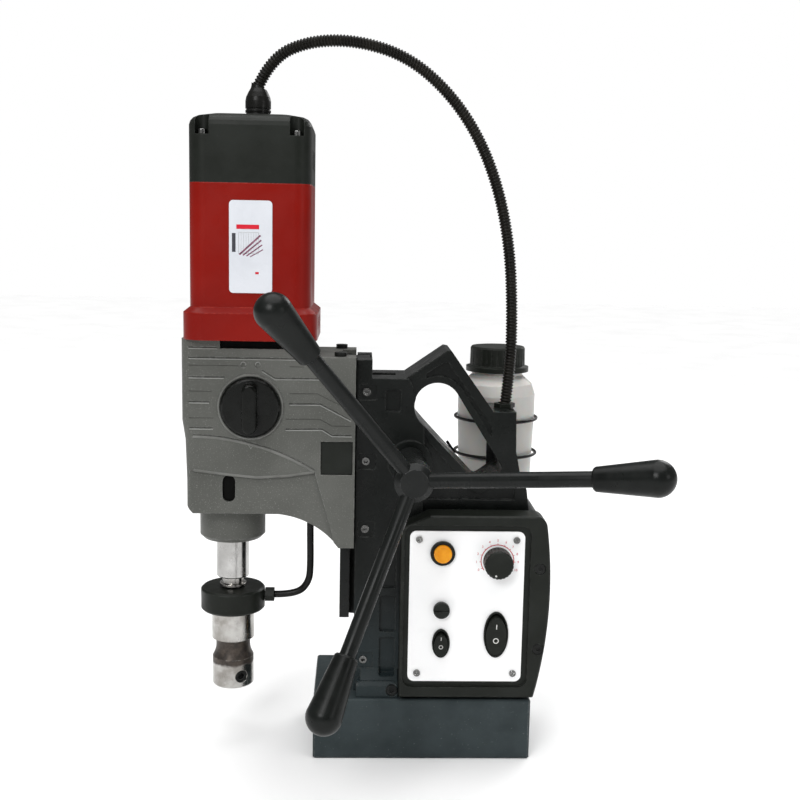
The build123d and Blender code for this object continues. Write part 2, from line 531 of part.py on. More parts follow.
def gear_housing():
    half = GEAR_BODY_HALF
    side = [(-184.3, GEAR_TOP), (-184.3, 262), (-182, 247), (-181, 216), (-181, 196), (-176, 190.8)]
    arch = ThreePointArc((-111.8, 190.8), (-86.5, 183.0), (-66, 165.3))
    edges = [Polyline((-111.8, 190.8), (-176, 190.8)), Polyline(*reversed(side)),
             Polyline(side[0], (-91, GEAR_TOP), (-91, EAR_TOP), (-54.3, EAR_TOP), (-54.3, 165.3),
                      (-66, 165.3)), arch]
    body = slab(make_face(edges), -half, half)
    left = body.edges().filter_by(lambda e: e.center().X < -180 and abs(abs(e.center().Y) - half) < 0.1)
    body = fillet(left, 9)
    body += rod_z(SPINDLE_X, 0, 25.5, 164, 200)
    body = chamfer(body.faces().filter_by(GeomType.PLANE).sort_by(Axis.Z)[0].outer_wire().edges(), 3)
    # the lower front is set back behind a slanting crease
    lower = outline([(-190, 224), (-174.8, 224), (-150, 221), (-128, 219), (-105, 220.4), (-84.4, 223.6),
                     (-71.3, 178), (-66, 150), (-190, 150)])
    body -= slab(lower, -half - 1, 2.5 - half) - rod_z(SPINDLE_X, 0, 30, 100, 200)
    for points in GROOVES:
        body -= slab(trace(Polyline(*points), 1.1), -half - 1, 0.9 - half)
    body -= slab(trace(ThreePointArc((-175.5, 251), (-130, 245), (-84.5, 225)), 1.2), -half - 1, 0.9 - half)
    body += slab(Pos(*KNOB) * (Circle(24.6) - Circle(22.9)), -half - 1.2, 1 - half)
    for side_x in (-5.4, 5.4):
        body -= rod_y(KNOB[0] + side_x, 304.5, 2.2, -half - 1, 0.8 - half)
    # slot of the cooling air, the dark recess under the motor and the square window
    body -= slab(box_sketch((-153.8, -144.2), (200, 220.3), 4.7), -half - 1, 14 - half)
    body -= block((-155, -104), (-half - 1, 9 - half), (316.5, GEAR_TOP + 1))
    body -= block((-80, -56), (-half - 1, 3 - half), (222, 247.4))
    # inside: gear chamber, bearing seats and shaft passages
    body -= block((-179.5, -86), (-35, 35.5), (230, 292))
    for x, y, r, z0, z1 in ((SPINDLE_X, 0, 13.6, 160, 231), (SPINDLE_X, 0, 21 + SEAT_FIT, 176, 188),
                            (SPINDLE_X, 0, 18 + SEAT_FIT, 214, 231), (LAY_X, LAY_Y, 8 + SEAT_FIT, 224, 231),
                            (LAY_X, LAY_Y, 8 + SEAT_FIT, 291, 300), (MOTOR_X, 0, 7, 291, 330),
                            (MOTOR_X, 0, 13 + SEAT_FIT, 303, 330)):
        body -= rod_z(x, y, r, z0, z1)
    body -= rod_y(*KNOB, 5.05, -half - 1, -30)
    body -= block((-65.1, -50), (-20.1, 20.1), (150, 330))
    for y in (-EAR_BOLT_Y, EAR_BOLT_Y):
        body -= rod_z(EAR_BOLT_X, y, 2.6, EAR_TOP - 20, EAR_TOP + 1)
    body -= rod_z(HOSE_ROUTE[-1][0], 0, HOSE_R + 0.1, 179, HOSE_ROUTE[-1][1] + 0.2)
    insert = slab(box_sketch((-79.8, -56.2), (222.2, 247.2), 1), 0.9 - half, 3 - half)
    screws = []
    for y in (-EAR_BOLT_Y, EAR_BOLT_Y):
        screw = rod_z(EAR_BOLT_X, y, 2.5, EAR_TOP - 18, EAR_TOP)
        screw += rod_z(EAR_BOLT_X, y, 4.6, EAR_TOP, EAR_TOP + 3.2)
        screws.append(screw - extrude(Pos(EAR_BOLT_X, y, EAR_TOP + 1.4) * RegularPolygon(2.3, 6), 3))
    return {"gear_housing": body, "housing_insert": insert, "housing_bolts": Compound(screws)}


def selector_knob():
    y = -GEAR_BODY_HALF
    base = rod_y(*KNOB, 22.3, y - 5.5, y - 0.3)
    base = chamfer(base.faces().sort_by(Axis.Y)[0].edges(), 1.5)
    grip = slab(Pos(*KNOB) * SlotCenterToCenter(26, 11, rotation=90), y - 15, y - 5)
    grip = fillet(grip.faces().sort_by(Axis.Y)[0].edges(), 2)
    return {"selector_knob": base + grip + rod_y(*KNOB, 5.0, y - 1, -36)}


def shell_section(half, radius):
    return Pos(MOTOR_X, 0) * RectangleRounded(2 * half, 2 * half, radius)


def motor_housing():
    z0, z1 = MOTOR_Z
    band_top = z0 + 20
    body = extrude(Pos(0, 0, z0) * shell_section(BAND_HALF, 16), band_top - z0)
    body += loft([Pos(0, 0, band_top) * shell_section(BAND_HALF, 16),
                  Pos(0, 0, band_top + 4) * shell_section(MOTOR_HALF, 12)])
    body += extrude(Pos(0, 0, band_top + 4) * shell_section(MOTOR_HALF, 12), z1 - band_top - 4)
    body -= extrude(Pos(0, 0, z0 + 4) * shell_section(MOTOR_HALF - 3.5, 9), z1 - z0)
    body -= rod_z(MOTOR_X, 0, 30, z0 - 1, z0 + 5)
    # cooling slots in the band's sides
    for side in (-1, 1):
        for count in range(5):
            y = -20 + 10 * count
            x = MOTOR_X + side * BAND_HALF
            body -= block(sorted((x - side * 12, x + side * 2)), (y - 2, y + 2), (z0 + 7, z0 + 16))
    return {"motor_housing": body}


def motor_end_cap():
    z0 = MOTOR_Z[1]
    body = extrude(Pos(0, 0, z0) * shell_section(MOTOR_HALF, 12), 41)
    body += loft([Pos(0, 0, z0 + up) * shell_section(MOTOR_HALF - inset, 12 - inset / 5)
                  for up, inset in CAP_CROWN], ruled=True)
    hollow = extrude(Pos(0, 0, z0 + 8) * shell_section(MOTOR_HALF - 3.5, 9), 26)
    hollow += loft([Pos(0, 0, z0 + 34) * shell_section(MOTOR_HALF - 3.5, 9),
                    Pos(0, 0, CAP_TOP - 4) * shell_section(MOTOR_HALF - 12, 7)])
    for sx in (-1, 1):
        for sy in (-1, 1):
            low_x, high_x = sorted((sx * (POCKET_X - 8), sx * (POCKET_X + 8)))
            low_y, high_y = sorted((sy * (POCKET_Y - 8), sy * MOTOR_HALF))
            hollow -= block((MOTOR_X + low_x, MOTOR_X + high_x), (low_y, high_y), (z0 + 30, CAP_TOP))
    body -= hollow
    body -= extrude(Pos(0, 0, z0 - 1) * shell_section(MOTOR_HALF - 3.5, 9), 5)
    body += tube_z(MOTOR_X, 0, 10, 15, z0 + 6, z0 + 20)
    body -= rod_z(MOTOR_X, 0, 11 + SEAT_FIT, z0 + 10, z0 + 30) + rod_z(MOTOR_X, 0, 6.5, z0, z0 + 12)
    # screw pockets at the corners, open at the top and to the front or back
    for sx in (-1, 1):
        for sy in (-1, 1):
            x, y = MOTOR_X + sx * POCKET_X, sy * POCKET_Y
            body -= rod_z(x, y, 5.0, z0 + 34, CAP_TOP + 2)
            body -= block((x - 5, x + 5), sorted((y, sy * (MOTOR_HALF + 1))), (z0 + 34, CAP_TOP + 2))
    for side in (-1, 1):
        for count in range(6):
            y = -20 + 8 * count
            x = MOTOR_X + side * MOTOR_HALF
            body -= block(sorted((x - side * 6, x + side * 2)), (y - 1.6, y + 1.6), (z0 + 12, z0 + 26))
    body -= rod_z(STRAIN_X, 0, 5.2, CAP_TOP - 10, CAP_TOP + 1)
    screws = []
    for sx in (-1, 1):
        for sy in (-1, 1):
            x, y = MOTOR_X + sx * POCKET_X, sy * POCKET_Y
            screws.append(rod_z(x, y, 3.4, z0 + 34, z0 + 37.5)
                          - block((x - 3, x + 3), (y - 0.5, y + 0.5), (z0 + 36.3, z0 + 39)))
    return {"motor_end_cap": body, "end_cap_screws": Compound(screws)}


def strain_relief():
    z = CAP_TOP
    shape = [(0, z), (9.6, z), (9.6, z + 12), (9.0, z + 15), (7.4, z + 18.5),
             (5.6, z + 21.5), (5.0, z + 24), (5.0, z + 30), (0, z + 30)]
    body = spun(shape, STRAIN_X, 0) + rod_z(STRAIN_X, 0, 5.0, z - 8, z)
    for count in range(2):
        body -= tube_z(STRAIN_X, 0, 8.9, 12, z + 2.4 + 3 * count, z + 3.6 + 3 * count)
    # its nose is cut square to the conduit that leaves it
    start, toward = Vector(CONDUIT_ROUTE[0][0], 0, CONDUIT_ROUTE[0][1]), Vector(
        CONDUIT_ROUTE[1][0] - CONDUIT_ROUTE[0][0], 0, CONDUIT_ROUTE[1][1] - CONDUIT_ROUTE[0][1])
    body -= extrude(Plane(origin=start, z_dir=toward) * Circle(20), 30)
    return {"strain_relief": body}


def label_plate():
    y = -MOTOR_HALF
    return {"label_plate": slab(box_sketch(LABEL_X, LABEL_Z, 3), y - 0.6, y)}


def motor_insides():
    inner = MOTOR_HALF - 3.5
    stator = extrude(Pos(0, 0, 366) * shell_section(inner, 9), 44)
    stator -= rod_z(MOTOR_X, 0, 24.8, 360, 420)
    for side in (-1, 1):
        stator -= block((MOTOR_X + side * 32 - 6, MOTOR_X + side * 32 + 6), (-34, 34), (360, 420))
    holders = [block((MOTOR_X - 6, MOTOR_X + 6), sorted((side * 14.4, side * inner)), (418, 430))
               for side in (-1, 1)]
    return {"stator": stator, "brush_holders": Compound(holders)}


def bearing(x, y, shaft_r, r_out, z0, z1):
    """Sealed ball bearing, with the step of its seals on both faces."""
    r_in = shaft_r + SHAFT_FIT
    ring = tube_z(x, y, r_in, r_out, z0, z1)
    band = (r_out - r_in) * 0.28
    for low, high in ((z0 - 1, z0 + 0.5), (z1 - 0.5, z1 + 1)):
        ring -= tube_z(x, y, r_in + band, r_out - band, low, high)
    return ring


def bearings():
    z = MOTOR_Z[1] + 10
    solids = [bearing(SPINDLE_X, 0, 12, 21, 176, 188), bearing(SPINDLE_X, 0, 12, 18, 214, 226),
              bearing(LAY_X, LAY_Y, 4, 8, 224, 230), bearing(LAY_X, LAY_Y, 4, 8, 292, 298),
              bearing(MOTOR_X, 0, 5, 13, 303, 312), bearing(MOTOR_X, 0, 4, 11, z, z + 8)]
    return {"ball_bearings": Compound(solids)}


def coolant_parts():
    low, high = RING_Z
    ring = rod_z(SPINDLE_X, 0, RING_R, low, high)
    ring = chamfer(ring.faces().sort_by(Axis.Z)[-1].edges() + ring.faces().sort_by(Axis.Z)[0].edges(), 1.5)
    ring -= rod_z(SPINDLE_X, 0, 17.05, low - 1, high - 2.8) + rod_z(SPINDLE_X, 0, 9.6, low, high + 1)
    ring -= rod_x(0, HOSE_ROUTE[0][1], 2.6, SPINDLE_X + 15, SPINDLE_X + 30)
    x0 = SPINDLE_X + sqrt(RING_R**2 - 5.6**2)
    hexagon = extrude(Plane.YZ.offset(x0 + 1.0) * Pos(0, HOSE_ROUTE[0][1]) * RegularPolygon(5.6, 6),
                      HOSE_ROUTE[0][0] - x0 - 1.0)
    nipple = hexagon + rod_x(0, HOSE_ROUTE[0][1], 2.5, SPINDLE_X + 21, x0 + 1.5)
    return {"coolant_ring": ring, "coolant_nipple": nipple}


# ---- turning parts ------------------------------------------------------
def spindle():
    steps = [(0, SPINDLE_END), (12.0, SPINDLE_END), (12.8, SPINDLE_END + 0.8), (12.8, 175), (12, 175),
             (12, 227), (9, 227), (9, 258), (0, 258)]
    body = spun(steps, SPINDLE_X, 0)
    # the first gap between teeth faces the layshaft
    phase = degrees(atan2(LAY_Y, LAY_X - SPINDLE_X)) + 180 / SPINDLE_TEETH
    gear = Pos(SPINDLE_X, 0, 240) * gear_sketch(SLOW_MODULE, SPINDLE_TEETH, phase)
    return {"spindle": body + extrude(gear, 14)}


def arbor():
    z = ARBOR_BOTTOM
    neck, top = 8.4, RING_Z[1] - 3.6
    body = spun([(0, z), (15.4, z), (16.2, z + 1), (16.2, z + 23), (15.2, z + 25), (14.2, z + 27.5),
                 (13.6, z + 30), (13.4, z + 32.5), (13.5, z + 35), (14.2, z + 37.6), (16.7, z + 38.6),
                 (16.7, top - 0.8), (15.9, top), (neck, top), (neck, top + 4.2), (10.4, top + 4.6),
                 (10.4, top + 6.6), (neck, top + 7), (neck, SPINDLE_END), (0, SPINDLE_END)], SPINDLE_X, 0)
    body -= rod_z(SPINDLE_X, 0, WELDON_R, z - 1, z + WELDON_DEPTH)
    body -= rod_z(SPINDLE_X, 0, 3.3, z, 120)
    screws = []
    for angle in ARBOR_SCREWS:
        turn = radians(angle)
        plane = Plane(origin=(SPINDLE_X, 0, z + 9.4), z_dir=(cos(turn), sin(turn), 0))
        body -= extrude(plane * Circle(5.05), 20)
        screw = extrude(plane.offset(10) * Circle(5.0), 5.2)
        screws.append(screw - extrude(plane.offset(12) * RegularPolygon(2.9, 6), 5))
    return {"arbor": body, "arbor_screws": Compound(screws)}


def armature():
    top = MOTOR_Z[1] + 20
    steps = [(0, 262), (4.2, 262), (4.2, 290), (5, 290), (5, 425), (4, 440), (4, top), (0, top)]
    body = spun(steps, MOTOR_X, 0)
    mesh = degrees(atan2(LAY_Y, LAY_X - MOTOR_X))
    body += extrude(Pos(MOTOR_X, 0, 268) * gear_sketch(FAST_MODULE, ARMATURE_TEETH, mesh), 20)
    core = rod_z(MOTOR_X, 0, 24.2, 368, 408)
    for count in range(12):
        angle = radians(30 * count)
        core -= rod_z(MOTOR_X + 22.5 * cos(angle), 22.5 * sin(angle), 2.4, 360, 420)
    commutator = rod_z(MOTOR_X, 0, 14, 416, 432)
    for count in range(24):
        blade = Pos(MOTOR_X, 0) * Rot(0, 0, 15 * count) * block((12.8, 15), (-0.3, 0.3), (414, 434))
        commutator -= blade
    fan = rod_z(MOTOR_X, 0, 36, 332, 334) + rod_z(MOTOR_X, 0, 10, 332, 346)
    for count in range(9):
        fan += Pos(MOTOR_X, 0) * Rot(0, 0, 40 * count) * block((9, 35), (-0.8, 0.8), (333, 345))
    fan -= rod_z(MOTOR_X, 0, 5, 330, 350)
    return {"armature": body + core + commutator, "cooling_fan": fan}


def layshaft():
    body = rod_z(LAY_X, LAY_Y, 4.0, 224.5, 297.5)
    to_motor = degrees(atan2(-LAY_Y, MOTOR_X - LAY_X))
    fast = gear_sketch(FAST_MODULE, LAY_TEETH, to_motor + 180 / LAY_TEETH)
    to_spindle = degrees(atan2(-LAY_Y, SPINDLE_X - LAY_X))
    slow = gear_sketch(SLOW_MODULE, LAY_PINION_TEETH, to_spindle)
    body += extrude(Pos(LAY_X, LAY_Y, 272) * fast, 12) + extrude(Pos(LAY_X, LAY_Y, 238) * slow, 20)
    return {"layshaft": body}


# ---- write one file for each piece --------------------------------------
def build():
    nodes = {}
    for made in (magnet(), magnet_bolts(), frame_casting(), gib(), bushes(), conduit_gland(),
                 control_housing(), panel_plate(), push_button(), speed_dial(), fuse(),
                 rocker_switch("motor", MOTOR_SWITCH, *MOTOR_SWITCH_HALF),
                 rocker_switch("magnet", MAGNET_SWITCH, *MAGNET_SWITCH_HALF),
                 circuit_board(), bottle(), bottle_cap(), bottle_holder(), pinion_shaft(),
                 feed_handle(), slide_and_rack(), gear_housing(), selector_knob(), motor_housing(),
                 motor_end_cap(), strain_relief(), label_plate(), motor_insides(), bearings(),
                 coolant_parts(), spindle(), arbor(), armature(), layshaft()):
        nodes.update(made)
    nodes["motor_conduit"] = hose(CONDUIT_ROUTE, CONDUIT_R)
    nodes["coolant_hose"] = hose(HOSE_ROUTE, HOSE_R)
    return nodes


os.makedirs("parts", exist_ok=True)
for node_name, shape in build().items():
    export_step(shape, "parts/" + node_name + ".step")
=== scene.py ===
import json
import math

import bpy
import bmesh
from mathutils import Matrix, Vector
from mathutils.bvhtree import BVHTree


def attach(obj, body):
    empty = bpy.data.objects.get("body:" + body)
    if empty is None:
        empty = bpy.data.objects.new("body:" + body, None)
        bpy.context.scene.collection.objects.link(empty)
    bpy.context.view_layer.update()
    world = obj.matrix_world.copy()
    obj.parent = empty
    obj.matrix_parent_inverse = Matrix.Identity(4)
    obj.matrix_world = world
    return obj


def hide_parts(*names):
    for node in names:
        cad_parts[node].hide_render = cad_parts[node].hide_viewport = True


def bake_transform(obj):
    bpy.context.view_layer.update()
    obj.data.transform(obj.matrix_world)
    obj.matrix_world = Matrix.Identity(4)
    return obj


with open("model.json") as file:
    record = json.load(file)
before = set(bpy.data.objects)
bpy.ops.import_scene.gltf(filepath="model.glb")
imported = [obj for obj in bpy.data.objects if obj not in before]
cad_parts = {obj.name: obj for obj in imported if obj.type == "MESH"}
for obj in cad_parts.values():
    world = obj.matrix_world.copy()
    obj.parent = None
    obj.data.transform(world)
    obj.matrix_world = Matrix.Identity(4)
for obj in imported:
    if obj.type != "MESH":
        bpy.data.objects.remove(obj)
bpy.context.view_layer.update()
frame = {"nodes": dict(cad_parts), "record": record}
MM = 0.001

# ---- camera: almost level, just left of straight on ----------------------
CAMERA_PLACE = (-0.0526, -0.8875, 0.4031)
AZIMUTH, ELEVATION, ROLL = math.radians(-2.12), math.radians(8.27), math.radians(1.09)
LENS, SENSOR_WIDTH = 51.62, 36.0

back = Vector((math.sin(AZIMUTH) * math.cos(ELEVATION), -math.cos(AZIMUTH) * math.cos(ELEVATION),
               math.sin(ELEVATION)))
right = Vector((math.cos(AZIMUTH), math.sin(AZIMUTH), 0))
up = back.cross(right)
cam_x = right * math.cos(ROLL) + up * math.sin(ROLL)
cam_y = up * math.cos(ROLL) - right * math.sin(ROLL)
camera_data = bpy.data.cameras.new("camera")
camera_data.sensor_width, camera_data.lens = SENSOR_WIDTH, LENS
camera = bpy.data.objects.new("camera", camera_data)
camera_turn = Matrix((cam_x, cam_y, back)).transposed()
camera.matrix_world = Matrix.Translation(CAMERA_PLACE) @ camera_turn.to_4x4()
bpy.context.scene.collection.objects.link(camera)
bpy.context.scene.camera = camera

# ---- routes of the conduit and the coolant hose, X and Z in metres --------
CONDUIT_ROUTE = [(-0.1303, 0.5102), (-0.1205, 0.531), (-0.092, 0.544), (-0.056, 0.545),
                 (-0.018, 0.534), (0.014, 0.508), (0.038, 0.474), (0.054, 0.434),
                 (0.063, 0.390), (0.066, 0.345), (0.0662, 0.303), (0.0624, 0.2665)]
HOSE_ROUTE = [(-0.1172, 0.116), (-0.0995, 0.116), (-0.0895, 0.1265), (-0.0886, 0.142),
              (-0.089, 0.166), (-0.089, 0.188)]
CONDUIT_LENGTH, CONDUIT_DIAMETER = 0.4219, 0.0092
HOSE_LENGTH, HOSE_DIAMETER = 0.0925, 0.0055


def add(name, data):
    """Object in the scene that holds the data."""
    piece = bpy.data.objects.new(name, data)
    bpy.context.scene.collection.objects.link(piece)
    return piece


def curve_mesh(curve):
    """Mesh of a curve or a text, neither of which stays in the scene."""
    holder = bpy.data.objects.new("holder", curve)
    mesh = bpy.data.meshes.new_from_object(holder)
    bpy.data.objects.remove(holder)
    return mesh


def route_curve(name, route):
    """Smooth curve with the route's points as its control points."""
    curve = bpy.data.curves.new(name, "CURVE")
    curve.dimensions = "3D"
    curve.resolution_u = 24
    spline = curve.splines.new("NURBS")
    spline.points.add(len(route) - 1)
    for point, (x, z) in zip(spline.points, route):
        point.co = (x, 0.0, z, 1.0)
    spline.order_u = 3
    spline.use_endpoint_u = True
    return curve


def curve_points(curve):
    """Points along a curve that has no bevel."""
    mesh = curve_mesh(curve)
    points = [vertex.co.copy() for vertex in mesh.vertices]
    bpy.data.meshes.remove(mesh)
    return points


def spaced(points, count):
    """The line again, with count + 1 points at equal distances, and the direction at each."""
    along = [0.0]
    for a, b in zip(points, points[1:]):
        along.append(along[-1] + (b - a).length)
    made, index = [], 0
    for step in range(count + 1):
        at = along[-1] * step / count
        while index < len(points) - 2 and along[index + 1] < at:
            index += 1
        a, b = points[index], points[index + 1]
        share = (at - along[index]) / max(along[index + 1] - along[index], 1e-12)
        made.append(a.lerp(b, share))
    ways = []
    for step in range(count + 1):
        ways.append((made[min(step + 1, count)] - made[max(step - 1, 0)]).normalized())
    return made, ways


def tube_mesh(name, centres, ways, radii, sides):
    """Closed tube of rings about the centres; the line lies in a plane of constant Y."""
    mesh = bpy.data.meshes.new(name)
    deep = Vector((0, 1, 0))
    verts, faces = [], []
    for centre, way, radius in zip(centres, ways, radii):
        across = way.cross(deep).normalized()
        for side in range(sides):
            turn = 2 * math.pi * side / sides
            verts.append(centre + radius * (math.cos(turn) * across + math.sin(turn) * deep))
    for ring in range(len(centres) - 1):
        for side in range(sides):
            a, b = ring * sides + side, ring * sides + (side + 1) % sides
            faces.append((a, b, b + sides, a + sides))
    faces.append(tuple(range(sides)))
    faces.append(tuple(reversed(range((len(centres) - 1) * sides, len(centres) * sides))))
    mesh.from_pydata([tuple(v) for v in verts], [], faces)
    clean = bmesh.new()
    clean.from_mesh(mesh)
    bmesh.ops.recalc_face_normals(clean, faces=clean.faces)
    clean.to_mesh(mesh)
    clean.free()
    mesh.shade_smooth()
    return mesh


# Corrugated conduit: RIB_SHAPE is the share of the full radius at equal steps along one rib.
CONDUIT_SIDES, HOSE_SIDES = 28, 24
RIB_PITCH = 0.0024
RIB_SHAPE = [0.90, 0.97, 1.0, 1.0, 0.97, 0.90, 0.80, 0.80]
conduit_line = curve_points(route_curve("conduit_route", CONDUIT_ROUTE))
line_length = sum((b - a).length for a, b in zip(conduit_line, conduit_line[1:]))
ribs = round(line_length / RIB_PITCH)
centres, ways = spaced(conduit_line, ribs * len(RIB_SHAPE))
radii = [CONDUIT_DIAMETER / 2 * RIB_SHAPE[step % len(RIB_SHAPE)] for step in range(len(centres))]
conduit = add("conduit_corrugated", tube_mesh("conduit_corrugated", centres, ways, radii, CONDUIT_SIDES))
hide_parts("motor_conduit")
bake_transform(conduit)

# Smooth coolant hose.
HOSE_RINGS = 60
centres, ways = spaced(curve_points(route_curve("hose_route", HOSE_ROUTE)), HOSE_RINGS)
radii = [HOSE_DIAMETER / 2] * len(centres)
hose = add("coolant_hose_line", tube_mesh("coolant_hose_line", centres, ways, radii, HOSE_SIDES))
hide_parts("coolant_hose")
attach(hose, "carriage")


# ---- materials -----------------------------------------------------------
# The edge tint, partly wear and partly a painted highlight along edges, shows where the rounded normal bends
# by the first number, and fully where it bends by the second.
EDGE_TINT_FROM, EDGE_TINT_TO, EDGE_TINT_NOISE = 0.012, 0.06, 260.0
SPECULAR = 0.15
ROUGHNESS_FINER = 3.1      # how much finer the roughness varies than the colour
SPECK_SOFT, SPECK_ROUGHER = 0.05, 0.25
WAVE_PERIOD = 3.2          # wave texture's own scale for one band in a unit


class Graph:
    """Small helper for building one material's nodes."""

    def __init__(self, name):
        self.material = bpy.data.materials.new(name)
        self.material.use_nodes = True
        self.tree = self.material.node_tree
        self.shader = self.tree.nodes["Principled BSDF"]
        self.coords = self.add("ShaderNodeTexCoord").outputs["Object"]

    def add(self, kind, **settings):
        node = self.tree.nodes.new(kind)
        for key, value in settings.items():
            setattr(node, key, value)
        return node

    def put(self, socket, value):
        if isinstance(value, bpy.types.NodeSocket):
            self.tree.links.new(value, socket)
        else:
            socket.default_value = value

    def noise(self, scale, detail, rough):
        node = self.add("ShaderNodeTexNoise")
        node.inputs["Scale"].default_value = scale
        node.inputs["Detail"].default_value = detail
        node.inputs["Roughness"].default_value = rough
        self.put(node.inputs["Vector"], self.coords)
        return node.outputs["Fac"]

    def turning(self, scale, distortion):
        """Fine rings around Z, as a lathe leaves them."""
        wave = self.add("ShaderNodeTexWave", wave_type="BANDS", bands_direction="Z")
        wave.inputs["Scale"].default_value = scale
        wave.inputs["Distortion"].default_value = distortion
        wave.inputs["Detail"].default_value = 2.0
        self.put(wave.inputs["Vector"], self.coords)
        return wave.outputs["Fac"]

    def height(self):
        node = self.add("ShaderNodeSeparateXYZ")
        self.put(node.inputs[0], self.coords)
        return node.outputs[2]

    def remap(self, value, low, high, to_low=0.0, to_high=1.0):
        node = self.add("ShaderNodeMapRange", interpolation_type="SMOOTHSTEP")
        self.put(node.inputs["Value"], value)
        limits = {"From Min": low, "From Max": high, "To Min": to_low, "To Max": to_high}
        for key, number in limits.items():
            node.inputs[key].default_value = number
        return node.outputs["Result"]

    def math(self, operation, a, b):
        node = self.add("ShaderNodeMath", operation=operation)
        self.put(node.inputs[0], a)
        self.put(node.inputs[1], b)
        return node.outputs[0]

    def mix(self, share, a, b):
        """Colour between a and b."""
        node = self.add("ShaderNodeMix", data_type="RGBA")
        self.put(node.inputs[0], share)
        for socket, value in ((node.inputs[6], a), (node.inputs[7], b)):
            if not isinstance(value, bpy.types.NodeSocket):
                value = (*value, 1.0)
            self.put(socket, value)
        return node.outputs[2]

    def blend_number(self, share, a, b):
        node = self.add("ShaderNodeMix", data_type="FLOAT")
        for index, value in ((0, share), (2, a), (3, b)):
            self.put(node.inputs[index], value)
        return node.outputs[0]

    def edges(self, radius):
        """Normal rounded over sharp edges, and a mask of those edges broken up by noise."""
        bevel = self.add("ShaderNodeBevel", samples=4)
        bevel.inputs["Radius"].default_value = radius
        dot = self.add("ShaderNodeVectorMath", operation="DOT_PRODUCT")
        self.put(dot.inputs[0], bevel.outputs["Normal"])
        self.put(dot.inputs[1], self.add("ShaderNodeNewGeometry").outputs["Normal"])
        bent = self.remap(self.math("SUBTRACT", 1.0, dot.outputs["Value"]), EDGE_TINT_FROM, EDGE_TINT_TO)
        broken = self.remap(self.noise(EDGE_TINT_NOISE, 4.0, 0.65), 0.40, 0.66)
        return bevel.outputs["Normal"], self.math("MULTIPLY", bent, broken)

    def bump(self, height, distance, normal):
        node = self.add("ShaderNodeBump")
        node.inputs["Distance"].default_value = distance
        node.inputs["Strength"].default_value = 1.0
        self.put(node.inputs["Height"], height)
        self.put(node.inputs["Normal"], normal)
        return node.outputs["Normal"]


def finish(name, colour, shade, rough, grain, metal=0.0, tone=(14.0, 0.35, 0.65), edge=None,
           edge_radius=0.0006, rough_spread=0.08, specks=None, rings=None, fixed=None, foot=None):
    """One procedural finish.

    colour and shade are the two tones that mottle it, and tone is the mottling's scale and limits.
    grain is a list of (scale, depth) of its relief.
    edge is the (colour, roughness, metal) that shows on the edges: partly wear, partly a painted highlight
    where an edge would catch the light.
    specks is the (colour, scale, threshold) of dust or pits.
    rings is the (pitch, depth) of turning marks along Z.
    foot is a (colour, top, bottom): the tone that it blends into from the top height down to the bottom one.
    fixed is what else its shader is set to.
    """
    g = Graph(name)
    normal, edge_wear_and_highlight = g.edges(edge_radius)
    base = g.mix(g.remap(g.noise(tone[0], 5.0, 0.6), tone[1], tone[2]), colour, shade)
    patches = g.noise(tone[0] * ROUGHNESS_FINER, 4.0, 0.6)
    roughness = g.remap(patches, 0.3, 0.7, rough - rough_spread, rough + rough_spread)
    metallic = metal
    if foot:
        foot_colour, top, bottom = foot
        base = g.mix(g.remap(g.height(), bottom, top, 1.0, 0.0), base, foot_colour)
    if specks:
        speck_colour, speck_scale, threshold = specks
        spot = g.remap(g.noise(speck_scale, 2.0, 0.5), threshold, threshold + SPECK_SOFT)
        base = g.mix(spot, base, speck_colour)
        roughness = g.blend_number(spot, roughness, min(rough + SPECK_ROUGHER, 1.0))
    # Edge tint: partly wear, partly a painted highlight on edges that would catch the light.
    if edge:
        edge_colour, edge_rough, edge_metal = edge
        base = g.mix(edge_wear_and_highlight, base, edge_colour)
        roughness = g.blend_number(edge_wear_and_highlight, roughness, edge_rough)
        if edge_metal != metal:
            metallic = g.blend_number(edge_wear_and_highlight, metal, edge_metal)
    for scale, depth in grain:
        normal = g.bump(g.noise(scale, 3.0, 0.6), depth, normal)
    if rings:
        pitch, depth = rings
        normal = g.bump(g.turning(1.0 / (pitch * WAVE_PERIOD), 0.6), depth, normal)
    g.put(g.shader.inputs["Base Color"], base)
    g.put(g.shader.inputs["Roughness"], roughness)
    g.put(g.shader.inputs["Metallic"], metallic)
    g.put(g.shader.inputs["Normal"], normal)
    g.shader.inputs["Specular IOR Level"].default_value = SPECULAR
    for key, value in (fixed or {}).items():
        g.shader.inputs[key].default_value = value
    return g.material


